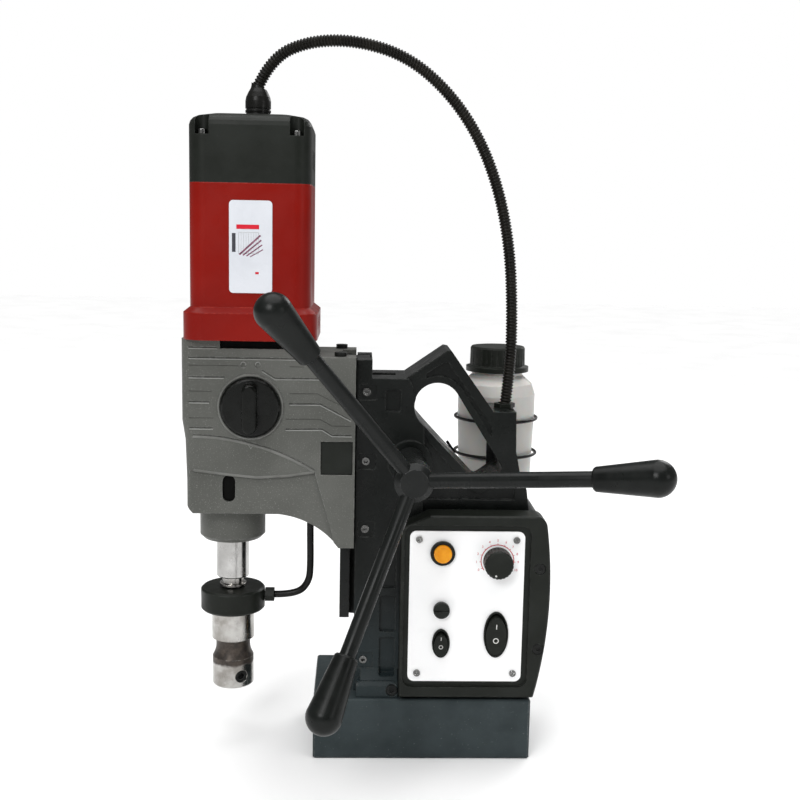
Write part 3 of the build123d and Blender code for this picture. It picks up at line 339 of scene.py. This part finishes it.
looks = {
    "black_casting": finish("black_casting", (0.0030, 0.0038, 0.0033), (0.0065, 0.0078, 0.0070), 0.30,
                            [(900, 0.00007), (260, 0.00010)], tone=(22, 0.35, 0.7),
                            edge=((0.050, 0.053, 0.050), 0.24, 0.0), edge_radius=0.0013,
                            specks=((0.022, 0.024, 0.023), 1300, 0.68),
                            foot=((0.017, 0.025, 0.027), 0.150, 0.055)),
    "magnet_steel": finish("magnet_steel", (0.024, 0.033, 0.035), (0.036, 0.047, 0.050), 0.42,
                           [(320, 0.00005), (1500, 0.00002)], tone=(30, 0.3, 0.7),
                           edge=((0.14, 0.15, 0.15), 0.32, 0.5), specks=((0.10, 0.11, 0.11), 700, 0.70),
                           edge_radius=0.0010),
    "coil_copper": finish("coil_copper", (0.55, 0.24, 0.10), (0.42, 0.17, 0.07), 0.3,
                          [(900, 0.00003)], metal=1.0, rings=(0.0012, 0.00015)),
    "potting": finish("potting", (0.03, 0.03, 0.034), (0.045, 0.045, 0.05), 0.35, [(120, 0.00015)]),
    "zinc_steel": finish("zinc_steel", (0.60, 0.60, 0.59), (0.45, 0.45, 0.44), 0.26, [(1800, 0.00001)],
                         metal=1.0, edge=((0.75, 0.75, 0.74), 0.2, 1.0), edge_radius=0.0003),
    "black_steel": finish("black_steel", (0.0065, 0.0075, 0.0070), (0.012, 0.013, 0.0125), 0.30,
                          [(500, 0.00002), (2200, 0.000008)], edge=((0.13, 0.13, 0.13), 0.25, 0.6),
                          edge_radius=0.0006),
    "machined_steel": finish("machined_steel", (0.50, 0.495, 0.485), (0.36, 0.355, 0.345), 0.22,
                             [(700, 0.000006)], metal=1.0, rings=(0.0005, 0.000012),
                             edge=((0.80, 0.79, 0.77), 0.16, 1.0), tone=(45, 0.35, 0.65)),
    "bronze": finish("bronze", (0.52, 0.33, 0.13), (0.38, 0.23, 0.09), 0.32, [(900, 0.00001)], metal=1.0,
                     edge=((0.7, 0.5, 0.25), 0.22, 1.0)),
    "black_plastic": finish("black_plastic", (0.0085, 0.0100, 0.0078), (0.0125, 0.0145, 0.0120), 0.42,
                            [(1900, 0.00003), (500, 0.00002)], tone=(26, 0.35, 0.65),
                            edge=((0.045, 0.048, 0.044), 0.34, 0.0), edge_radius=0.0009,
                            specks=((0.035, 0.037, 0.035), 1500, 0.71)),
    "panel_white": finish("panel_white", (0.94, 0.94, 0.94), (0.90, 0.905, 0.91), 0.34, [(600, 0.000006)],
                          tone=(16, 0.3, 0.75), edge=((0.70, 0.70, 0.70), 0.3, 0.3), edge_radius=0.0003,
                          specks=((0.66, 0.66, 0.65), 900, 0.75)),
    "amber_lens": finish("amber_lens", (0.72, 0.27, 0.008), (0.82, 0.36, 0.015), 0.18, [(450, 0.00003)],
                         tone=(160, 0.3, 0.7), edge=((1.0, 0.68, 0.22), 0.12, 0.0), edge_radius=0.0009,
                         fixed={"Subsurface Weight": 0.35, "Subsurface Scale": 0.002}),
    "board_green": finish("board_green", (0.02, 0.12, 0.05), (0.03, 0.17, 0.07), 0.4, [(900, 0.00002)]),
    "bottle_plastic": finish("bottle_plastic", (0.56, 0.55, 0.525), (0.48, 0.47, 0.445), 0.38,
                             [(90, 0.00025), (700, 0.00003)], tone=(12, 0.3, 0.7),
                             edge=((0.80, 0.80, 0.78), 0.3, 0.0), edge_radius=0.0012,
                             fixed={"Subsurface Weight": 0.25, "Subsurface Scale": 0.006}),
    "wire_black": finish("wire_black", (0.004, 0.004, 0.004), (0.008, 0.008, 0.008), 0.3, [(800, 0.00003)],
                         edge=((0.06, 0.06, 0.06), 0.3, 0.0), edge_radius=0.0004),
    "conduit_black": finish("conduit_black", (0.0045, 0.0040, 0.0030), (0.010, 0.009, 0.007), 0.34,
                            [(1500, 0.00003)], tone=(70, 0.35, 0.65), edge=((0.04, 0.04, 0.035), 0.3, 0.0),
                            edge_radius=0.0004),
    "hose_black": finish("hose_black", (0.005, 0.005, 0.0045), (0.010, 0.010, 0.009), 0.30,
                         [(1100, 0.00002)], tone=(60, 0.35, 0.65), edge=((0.04, 0.04, 0.04), 0.28, 0.0)),
    "grey_housing": finish("grey_housing", (0.082, 0.084, 0.076), (0.105, 0.107, 0.098), 0.44,
                           [(1000, 0.00011), (300, 0.00008)], tone=(18, 0.3, 0.7),
                           edge=((0.24, 0.243, 0.232), 0.36, 0.1), specks=((0.16, 0.16, 0.15), 1100, 0.62),
                           edge_radius=0.0010),
    "red_housing": finish("red_housing", (0.172, 0.0030, 0.0006), (0.205, 0.0045, 0.0012), 0.36,
                          [(1300, 0.000025), (240, 0.00003)], tone=(13, 0.3, 0.7),
                          edge=((0.36, 0.03, 0.018), 0.3, 0.0), specks=((0.28, 0.018, 0.011), 1400, 0.72),
                          edge_radius=0.0012),
    "label_white": finish("label_white", (0.64, 0.66, 0.70), (0.58, 0.60, 0.64), 0.26, [(500, 0.000008)],
                          tone=(28, 0.3, 0.7), edge=((0.6, 0.6, 0.62), 0.3, 0.0), edge_radius=0.0002),
    "grip_black": finish("grip_black", (0.0035, 0.0042, 0.0037), (0.0075, 0.0088, 0.0080), 0.33,
                         [(160, 0.00004), (1800, 0.000008)], tone=(40, 0.35, 0.65),
                         edge=((0.05, 0.05, 0.05), 0.2, 0.0), rough_spread=0.06),
    "lamination": finish("lamination", (0.26, 0.26, 0.27), (0.18, 0.18, 0.19), 0.4, [(900, 0.00001)],
                         metal=1.0, rings=(0.0005, 0.00004)),
}
# Heights where the arbor's oxidised waist begins, is full, begins to fade and ends.
WAIST = (0.0600, 0.0625, 0.0800, 0.0822)
WAIST_RAGGED = 0.0012


def arbor_steel():
    """Turned steel, bright on its two cylinders and oxidised dark brown on the waist between them."""
    g = Graph("arbor_steel")
    normal, edge_wear_and_highlight = g.edges(0.0006)
    ragged = g.remap(g.noise(140.0, 4.0, 0.6), 0.2, 0.8, -WAIST_RAGGED, WAIST_RAGGED)
    height = g.math("ADD", g.height(), ragged)
    begins, full, fading, ends = WAIST
    waist = g.math("MULTIPLY", g.remap(height, begins, full), g.remap(height, fading, ends, 1.0, 0.0))
    bright = g.mix(g.remap(g.noise(60.0, 4.0, 0.6), 0.35, 0.7), (0.50, 0.49, 0.47), (0.27, 0.255, 0.235))
    rust = g.mix(g.remap(g.noise(180.0, 5.0, 0.65), 0.35, 0.7), (0.035, 0.029, 0.025), (0.085, 0.068, 0.055))
    base = g.mix(waist, bright, rust)
    # Lighter edges: partly wear, partly a painted highlight.
    g.put(g.shader.inputs["Base Color"], g.mix(edge_wear_and_highlight, base, (0.80, 0.78, 0.74)))
    g.put(g.shader.inputs["Metallic"], g.blend_number(waist, 1.0, 0.55))
    smooth = g.remap(g.noise(90.0, 4.0, 0.6), 0.3, 0.7, 0.14, 0.28)
    g.put(g.shader.inputs["Roughness"], g.blend_number(waist, smooth, 0.46))
    normal = g.bump(g.turning(600.0, 0.8), 0.000022, normal)
    g.put(g.shader.inputs["Normal"], g.bump(g.noise(500.0, 3.0, 0.6), 0.00002, normal))
    return g.material


record_slots = {part["node"]: part["material_slot"] for part in frame["record"]["subparts"]}
# Dark screws whose edges are painted near white: a painted highlight of the bright rim round each head.
screw_rim_highlight_look = finish("dark_screws_rim_highlight", (0.16, 0.16, 0.155), (0.09, 0.09, 0.088), 0.24, [(1500, 0.00001)],
                    metal=1.0, edge=((0.92, 0.92, 0.90), 0.16, 1.0), edge_radius=0.0005)
knob_look = finish("knob_gloss", (0.0016, 0.0020, 0.0014), (0.0032, 0.0038, 0.0030), 0.22,
                   [(700, 0.00003), (1900, 0.000008)], tone=(40, 0.35, 0.65), edge_radius=0.0014,
                   edge=((0.03, 0.031, 0.029), 0.18, 0.0), fixed={"Specular IOR Level": 0.16})
black_screw = finish("black_screws", (0.006, 0.0065, 0.006), (0.012, 0.013, 0.012), 0.3,
                     [(1500, 0.00001)], edge=((0.10, 0.105, 0.10), 0.22, 0.4), edge_radius=0.0006)
# Nodes with a finish of their own; every other node takes the finish of its slot.
own_looks = {
    "arbor": arbor_steel(),
    "selector_knob": knob_look,
    "gib_screws": screw_rim_highlight_look,
    "panel_screws": screw_rim_highlight_look,
    "end_cap_screws": screw_rim_highlight_look,
    "housing_bolts": black_screw,
    "housing_screws": black_screw,
}
for node, piece in frame["nodes"].items():
    look = own_looks.get(node, looks[record_slots[node]])
    if piece.material_slots:
        for holder in piece.material_slots:
            holder.material = look
    else:
        piece.data.materials.append(look)
conduit.data.materials.append(looks["conduit_black"])
hose.data.materials.append(looks["hose_black"])

# Finishes of the printed marks, and of the gear housing's beads: painted highlights along its creases and
# knob ring, its small marks, and painted shadows in the dark lines between the creases.
PRINT_GRAIN = [(900, 0.000005)]
print_red = finish("print_red", (0.48, 0.008, 0.020), (0.58, 0.016, 0.032), 0.4, PRINT_GRAIN)
print_grey = finish("print_grey", (0.42, 0.43, 0.44), (0.52, 0.53, 0.54), 0.4, PRINT_GRAIN)
print_plum = finish("print_plum", (0.16, 0.06, 0.10), (0.27, 0.11, 0.16), 0.4, PRINT_GRAIN,
                    tone=(400, 0.35, 0.65))
print_dark = finish("print_dark", (0.03, 0.03, 0.035), (0.05, 0.05, 0.06), 0.4, PRINT_GRAIN)
print_white = finish("print_white", (0.72, 0.72, 0.70), (0.60, 0.60, 0.58), 0.45, [(900, 0.00001)])
# Light grey: painted highlight on the beads under the creases; the small marks by the knob take it as their
# own colour.
highlight_and_mark_paint = finish("highlight_and_mark_paint", (0.20, 0.205, 0.195), (0.27, 0.275, 0.26), 0.40,
                      [(1000, 0.00004)], tone=(60, 0.3, 0.7))
# Soft grey, lighter than the housing: painted highlight on the wide lips and on the knob's ring.
soft_highlight_paint = finish("soft_highlight_paint", (0.115, 0.117, 0.108), (0.165, 0.167, 0.157), 0.42,
                    [(1000, 0.00005)], tone=(70, 0.3, 0.7))
shadow_paint = finish("shadow_paint", (0.040, 0.041, 0.036), (0.060, 0.061, 0.055), 0.5,
                      [(1000, 0.00005)], tone=(60, 0.3, 0.7))

# ---- marks printed or moulded on the front of a CAD piece -----------------
PRINT_LIFT, PRINT_SUNK = 0.00006, 0.00012
IN_FRONT, FRONT_IF_MISSED = -0.3, -0.05


def dressed(name, mesh, look, body):
    """Piece of that mesh with its material, body and slot."""
    mesh.materials.append(look)
    piece = add(name, mesh)
    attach(piece, body)


def surface_of(node):
    mesh = frame["nodes"][node].data
    return BVHTree.FromPolygons([v.co for v in mesh.vertices], [tuple(p.vertices) for p in mesh.polygons])


def flat_mesh(name, parts):
    verts, faces = [], []
    for some, quads in parts:
        faces += [tuple(index + len(verts) for index in quad) for quad in quads]
        verts += some
    mesh = bpy.data.meshes.new(name)
    mesh.from_pydata(verts, [], faces)
    return mesh


def printed(name, parts, node, body, look):
    """Thin closed mark of flat parts in X and Z, laid on the node's front surface."""
    tree = surface_of(node)
    made = bmesh.new()
    made.from_mesh(flat_mesh(name, parts))
    bmesh.ops.triangulate(made, faces=made.faces)
    for vertex in made.verts:
        hit = tree.ray_cast(Vector((vertex.co.x, IN_FRONT, vertex.co.z)), Vector((0, 1, 0)))[0]
        vertex.co.y = (hit.y if hit is not None else FRONT_IF_MISSED) - PRINT_LIFT
    grown = bmesh.ops.extrude_face_region(made, geom=list(made.faces))
    for item in grown["geom"]:
        if isinstance(item, bmesh.types.BMVert):
            item.co.y += PRINT_LIFT + PRINT_SUNK
    bmesh.ops.recalc_face_normals(made, faces=made.faces)
    mesh = bpy.data.meshes.new(name)
    made.to_mesh(mesh)
    made.free()
    dressed(name, mesh, look, body)


def band(points_in, points_out, closed=False):
    """Strip between two rows of (x, z) points, as quads."""
    count = len(points_in)
    verts = [(x * MM, 0, z * MM) for x, z in points_in + points_out]
    faces = [(i, i + 1, count + i + 1, count + i) for i in range(count - 1)]
    if closed:
        faces.append((count - 1, 0, count, 2 * count - 1))
    return verts, faces


def arc(cx, cz, r, first, last, steps):
    turns = [math.radians(first + (last - first) * i / steps) for i in range(steps + 1)]
    return [(cx + r * math.cos(t), cz + r * math.sin(t)) for t in turns]


def stroke(x0, z0, x1, z1, width, steps=6):
    """Straight mark of that width between two points."""
    dx, dz = x1 - x0, z1 - z0
    long = math.hypot(dx, dz)
    nx, nz = -dz / long * width / 2, dx / long * width / 2
    line = [(x0 + dx * i / steps, z0 + dz * i / steps) for i in range(steps + 1)]
    return band([(x + nx, z + nz) for x, z in line], [(x - nx, z - nz) for x, z in line])


def ring(cx, cz, r_in, r_out, steps=32):
    inner, outer = arc(cx, cz, r_in, 0, 360, steps)[:-1], arc(cx, cz, r_out, 0, 360, steps)[:-1]
    return band(inner, outer, closed=True)


FONT_SIZE_PER_HEIGHT = 1.4


def numeral(text, cx, cz, height):
    """Number as flat parts, centred on a point."""
    font = bpy.data.curves.new("numeral", "FONT")
    font.body = text
    font.size = height * FONT_SIZE_PER_HEIGHT * MM
    font.align_x, font.align_y = "CENTER", "CENTER"
    font.resolution_u = 4
    mesh = curve_mesh(font)
    verts = [(cx * MM + v.co.x, 0, cz * MM + v.co.y) for v in mesh.vertices]
    faces = [tuple(p.vertices) for p in mesh.polygons]
    bpy.data.meshes.remove(mesh)
    return verts, faces


# The dial's scale: an arc, eleven ticks and the numbers 0 to 10. Sizes in millimetres, angles in degrees.
DIAL = (54.4, 159.4)
ARC_IN, ARC_OUT, ARC_FIRST, ARC_LAST, ARC_STEPS = 12.1, 12.7, 216, -36, 72
TICK_IN, TICK_OUT, TICK_WIDTH = 12.6, 13.7, 0.35
NUMBERS, NUMBER_FIRST, NUMBER_STEP = 11, 207.0, -23.4
NUMBER_RADIUS, NUMBER_HEIGHT = 15.8, 1.9
DOT_RADIUS, DOT_ANGLE = 8.3, 254


def on_dial(radius, degrees):
    turn = math.radians(degrees)
    return DIAL[0] + radius * math.cos(turn), DIAL[1] + radius * math.sin(turn)


scale = [band(arc(*DIAL, ARC_IN, ARC_FIRST, ARC_LAST, ARC_STEPS),
              arc(*DIAL, ARC_OUT, ARC_FIRST, ARC_LAST, ARC_STEPS))]
numbers = []
for count in range(NUMBERS):
    angle = NUMBER_FIRST + NUMBER_STEP * count
    scale.append(stroke(*on_dial(TICK_IN, angle), *on_dial(TICK_OUT, angle), TICK_WIDTH, 2))
    numbers.append(numeral(str(count), *on_dial(NUMBER_RADIUS, angle), NUMBER_HEIGHT))
printed("dial_scale", scale, "panel_plate", "frame", print_red)
printed("dial_numbers", numbers, "panel_plate", "frame", print_red)

# The knob's dot.
dot = ring(*on_dial(DOT_RADIUS, DOT_ANGLE), 0.02, 0.75, 20)
printed("knob_dot", [dot], "speed_knob", "speed_knob", print_white)

# The stroke and the ring of each rocker: its middle, their heights above it, and their size.
ROCKERS = [("motor_rocker", (13.0, 94.5), 4.3, -2.6, 1.0),
           ("magnet_rocker", (54.9, 101.6), 7.2, -4.5, 1.35)]
for name, (x, z), stroke_up, ring_up, size in ROCKERS:
    half_stroke = 1.5 * size
    marks = [stroke(x, z + stroke_up - half_stroke, x, z + stroke_up + half_stroke, 0.5 * size),
             ring(x, z + ring_up, 1.15 * size, 1.65 * size, 28)]
    printed(name + "_marks", marks, name, name, print_white)

# Generic art on the motor's label, in millimetres: a red band, a grey square with fine upright lines,
# slanting strokes over it, a dark bar beside it and a small dash below.
ART_LEFT, ART_RIGHT = -140.6, -126.2
BAND_Z, BAND_WIDTH = 405.6, 3.2
SQUARE_LOW, SQUARE_HIGH, SQUARE_LINE = 386.4, 401.6, 0.35
FINE_LINES, FINE_PITCH, FINE_WIDTH, FINE_INSET = 7, 1.8, 0.22, 0.4
SLANTS = 4
BAR_X, BAR_LOW, BAR_HIGH, BAR_WIDTH = -144.1, 387.5, 401.0, 2.6
DASH_LEFT, DASH_RIGHT, DASH_Z, DASH_WIDTH = -128.6, -126.0, 372.4, 1.6


def label_art(name, parts, look):
    printed(name, parts, "label_plate", "carriage", look)


label_art("label_band", [stroke(ART_LEFT - 1.6, BAND_Z, ART_RIGHT + 0.4, BAND_Z, BAND_WIDTH)], print_red)
square = [stroke(ART_LEFT, z, ART_RIGHT, z, SQUARE_LINE) for z in (SQUARE_HIGH, SQUARE_LOW)]
square += [stroke(x, SQUARE_LOW, x, SQUARE_HIGH, SQUARE_LINE) for x in (ART_LEFT, ART_RIGHT)]
for count in range(1, FINE_LINES + 1):
    x = ART_LEFT + FINE_PITCH * count
    square.append(stroke(x, SQUARE_LOW + FINE_INSET, x, SQUARE_HIGH - FINE_INSET, FINE_WIDTH))
label_art("label_square", square, print_grey)
slants = []
for count in range(SLANTS):
    foot_x, foot_z = ART_LEFT + 0.5 + 2.6 * count, 385.6 - 0.5 * count
    head_x, head_z = ART_RIGHT + 1.4 + 0.6 * count, 399.6 - 3.4 * count
    slants.append(stroke(foot_x, foot_z, head_x, head_z, 1.3 - 0.2 * count))
label_art("label_strokes", slants, print_plum)
label_art("label_bar", [stroke(BAR_X, BAR_LOW, BAR_X, BAR_HIGH, BAR_WIDTH)], print_dark)
label_art("label_dash", [stroke(DASH_LEFT, DASH_Z, DASH_RIGHT, DASH_Z, DASH_WIDTH)], print_red)

# ---- beads along the creases of the gear housing's front -------------------
HOUSING_FRONT = -0.040


def lip(name, points, radius, depth=0.0, look=highlight_and_mark_paint, loop=False):
    """Fine bead through (x, z) points in millimetres, its middle that deep behind the housing's front."""
    curve = bpy.data.curves.new(name, "CURVE")
    curve.dimensions = "3D"
    curve.bevel_depth = radius
    curve.bevel_resolution = 3
    curve.use_fill_caps = True
    spline = curve.splines.new("POLY")
    spline.points.add(len(points) - 1)
    spline.use_cyclic_u = loop
    for point, (x, z) in zip(spline.points, points):
        point.co = (x * MM, HOUSING_FRONT + depth, z * MM, 1.0)
    mesh = curve_mesh(curve)
    mesh.name = name
    bpy.data.curves.remove(curve)
    mesh.materials.clear()
    mesh.shade_smooth()
    dressed(name, mesh, look, "carriage")


def raised(points, up):
    return [(x, z + up) for x, z in points]


def through(a, b, c, steps=24):
    """Points of the circle's arc from a to c through b."""
    (ax, az), (bx, bz), (cx, cz) = a, b, c
    a_square, b_square, c_square = ax**2 + az**2, bx**2 + bz**2, cx**2 + cz**2
    double = 2 * (ax * (bz - cz) + bx * (cz - az) + cx * (az - bz))
    middle_x = (a_square * (bz - cz) + b_square * (cz - az) + c_square * (az - bz)) / double
    middle_z = (a_square * (cx - bx) + b_square * (ax - cx) + c_square * (bx - ax)) / double
    first = math.degrees(math.atan2(az - middle_z, ax - middle_x))
    last = math.degrees(math.atan2(cz - middle_z, cx - middle_x))
    return arc(middle_x, middle_z, math.hypot(ax - middle_x, az - middle_z), first, last, steps)


# Painted highlight: beads painted lighter than the housing just under the creases, where the lips catch the
# light.
LIP_RADIUS, LIP_UP = 0.00042, -0.85
CREASES = [[(-178, 317.0), (-157, 317.0)], [(-178, 309.4), (-92, 309.4)],
           [(-178, 295.0), (-152, 295.0)], [(-124, 300.5), (-114.4, 294.6), (-81, 294.8)],
           [(-103.5, 275.6), (-80.8, 275.8), (-57.6, 263.8)],
           [(-106.3, 256.4), (-79.2, 256.8), (-71.7, 252.2), (-56.7, 252.1)],
           [(-178, 276.3), (-163.2, 276.3)], [(-178, 256.7), (-160.3, 256.7)]]
for count, points in enumerate(CREASES):
    lip("housing_lip_highlight_%d" % (count + 1), raised(points, LIP_UP), LIP_RADIUS)

# Painted highlight: soft beads painted lighter than the housing along the long arc and the housing's lower
# crease.
SOFT_RADIUS = 0.0012
LONG_ARC = through((-175.5, 251), (-130, 245), (-84.5, 225))
LOWER_CREASE = [(-174.8, 224), (-150, 221), (-128, 219), (-105, 220.4), (-84.4, 223.6)]
lip("housing_arc_lip_highlight", raised(LONG_ARC, -1.0), SOFT_RADIUS, 0.0005, soft_highlight_paint)
lip("housing_lower_lip_highlight", raised(LOWER_CREASE, 0.6), SOFT_RADIUS, 0.0006, soft_highlight_paint)

# Painted shadow: dark beads between the creases, where the top edges of the shallow recessed bands lie in
# shade.
SHADOW_LINE_RADIUS, SHADOW_LINE_DEPTH = 0.00030, 0.00012
SHADOW_LINES = [[(-178, 303.7), (-141, 303.7)], [(-178, 284.4), (-161, 284.4)], [(-178, 264.3), (-160, 264.3)],
           [(-103.5, 283.4), (-83, 283.6), (-66.5, 275.6)],
           [(-106.3, 264.2), (-81.0, 264.4), (-71.8, 259.4), (-57.5, 259.3)],
           [(-103.5, 303.6), (-93, 303.5)]]
for count, points in enumerate(SHADOW_LINES):
    lip("housing_painted_shadow_%d" % (count + 1), points, SHADOW_LINE_RADIUS, SHADOW_LINE_DEPTH, shadow_paint)

# The ring around the selector knob, a bead painted lighter as a painted highlight, the arrow under it and
# the two small arcs above it.
KNOB_X, KNOB_Z, RING_RADIUS = -132.4, 273.0, 23.75
MARK_RADIUS = 0.00035
ARROW = [(-134.2, 244.6), (-130.2, 244.6), (-132.2, 241.4)]
ICON_OUT, ICON_Z, ICON_RADIUS = 5.4, 304.9, 1.7
knob_circle = arc(KNOB_X, KNOB_Z, RING_RADIUS, 0, 360, 72)[:-1]
lip("knob_ring_lip_highlight", knob_circle, 0.00075, -0.0009, soft_highlight_paint, loop=True)
lip("housing_arrow", ARROW, MARK_RADIUS, loop=True)
for count, x in enumerate((KNOB_X - ICON_OUT, KNOB_X + ICON_OUT)):
    lip("housing_icon_%d" % (count + 1), arc(x, ICON_Z, ICON_RADIUS, -30, 210, 16), MARK_RADIUS)

# ---- painted shade: near-black blocks behind the housings' openings --------
# Near-black, rough and barely glossy: painted shade for the dark inside of the openings.
painted_shade = finish("painted_shade_black", (0.0012, 0.0012, 0.0012), (0.0030, 0.0030, 0.0028), 0.9, [(1400, 0.00010)],
              fixed={"Specular IOR Level": 0.1})


def felt_block(name, low, high, bevel):
    """Solid block with rounded edges between two corners in millimetres."""
    made = bmesh.new()
    bmesh.ops.create_cube(made, size=1.0)
    middle = [(a + b) / 2 for a, b in zip(low, high)]
    extent = [b - a for a, b in zip(low, high)]
    for vertex in made.verts:
        vertex.co = Vector([middle[i] + vertex.co[i] * extent[i] for i in range(3)]) * MM
    bmesh.ops.bevel(made, geom=list(made.edges), offset=bevel * MM, segments=3, profile=0.5, affect="EDGES")
    mesh = bpy.data.meshes.new(name)
    made.to_mesh(mesh)
    made.free()
    dressed(name, mesh, painted_shade, "carriage")


MOTOR_MIDDLE = -133.0
SHADE_FILL_IN, SHADE_FILL_OUT, SHADE_FILL_HALF, SHADE_FILL_LOW, SHADE_FILL_HIGH = 36.4, 38.2, 26, 447.0, 465.5
# Painted shade in the housing's vent slot and in the recess under the red band.
felt_block("vent_painted_shade", (-153.6, -35.5, 200.2), (-144.4, -27.0, 220.1), 1.0)
felt_block("recess_painted_shade", (-154.6, -38.2, 316.8), (-104.4, -31.6, 323.6), 0.5)
# Painted shade in the end cap, one block at each side of the motor's middle.
for name, low_x, high_x in (("cap_painted_shade_left", MOTOR_MIDDLE - SHADE_FILL_OUT, MOTOR_MIDDLE - SHADE_FILL_IN),
                            ("cap_painted_shade_right", MOTOR_MIDDLE + SHADE_FILL_IN, MOTOR_MIDDLE + SHADE_FILL_OUT)):
    felt_block(name, (low_x, -SHADE_FILL_HALF, SHADE_FILL_LOW), (high_x, SHADE_FILL_HALF, SHADE_FILL_HIGH), 0.4)

# ---- floor and soft studio light -----------------------------------------
HALF, FLOOR_DROP = 6, 0.0002
floor_mesh = bpy.data.meshes.new("floor")
floor_mesh.from_pydata([(-HALF, -HALF, 0), (HALF, -HALF, 0), (HALF, HALF, 0), (-HALF, HALF, 0)], [],
                       [(0, 1, 2, 3)])
floor = add("floor", floor_mesh)
floor.location.z = -FLOOR_DROP
floor_mesh.materials.append(finish("floor_paint", (0.86, 0.86, 0.86), (0.84, 0.84, 0.84), 0.6,
                                   [(40, 0.00005)], tone=(2, 0.3, 0.7)))

# The world is white to the camera and dimmer as a light.
SEEN_WHITE, LIT_WHITE = 1.0, 0.20
world = bpy.data.worlds.new("studio")
world.use_nodes = True
nodes, links = world.node_tree.nodes, world.node_tree.links
lit = nodes["Background"]
lit.inputs["Color"].default_value = (1.0, 1.0, 1.0, 1.0)
lit.inputs["Strength"].default_value = LIT_WHITE
seen = nodes.new("ShaderNodeBackground")
seen.inputs["Color"].default_value = (1.0, 1.0, 1.0, 1.0)
seen.inputs["Strength"].default_value = SEEN_WHITE
backdrop = nodes.new("ShaderNodeMixShader")
links.new(nodes.new("ShaderNodeLightPath").outputs["Is Camera Ray"], backdrop.inputs[0])
links.new(lit.outputs[0], backdrop.inputs[1])
links.new(seen.outputs[0], backdrop.inputs[2])
links.new(backdrop.outputs[0], nodes["World Output"].inputs["Surface"])
bpy.context.scene.world = world
bpy.context.scene.view_settings.view_transform = "Standard"


def lamp(name, place, target, size, power):
    """Square area lamp turned towards its target."""
    data = bpy.data.lights.new(name, "AREA")
    data.shape, data.size, data.energy = "SQUARE", size, power
    item = add(name, data)
    item.location = place
    item.rotation_mode = "QUATERNION"
    item.rotation_quaternion = (Vector(target) - Vector(place)).to_track_quat("-Z", "Y")


MIDDLE = (-0.05, 0.0, 0.27)
SUN_POWER, SUN_SPREAD = 3.3, math.radians(70)
lamp("key_light", (-0.75, -1.7, 1.35), MIDDLE, 0.8, 21)
lamp("fill_light", (1.5, -1.2, 0.8), MIDDLE, 0.5, 3)
lamp("rim_light", (1.0, 1.4, 1.2), MIDDLE, 0.8, 9)
overhead = bpy.data.lights.new("overhead", "SUN")
overhead.energy, overhead.angle = SUN_POWER, SUN_SPREAD
add("overhead", overhead)
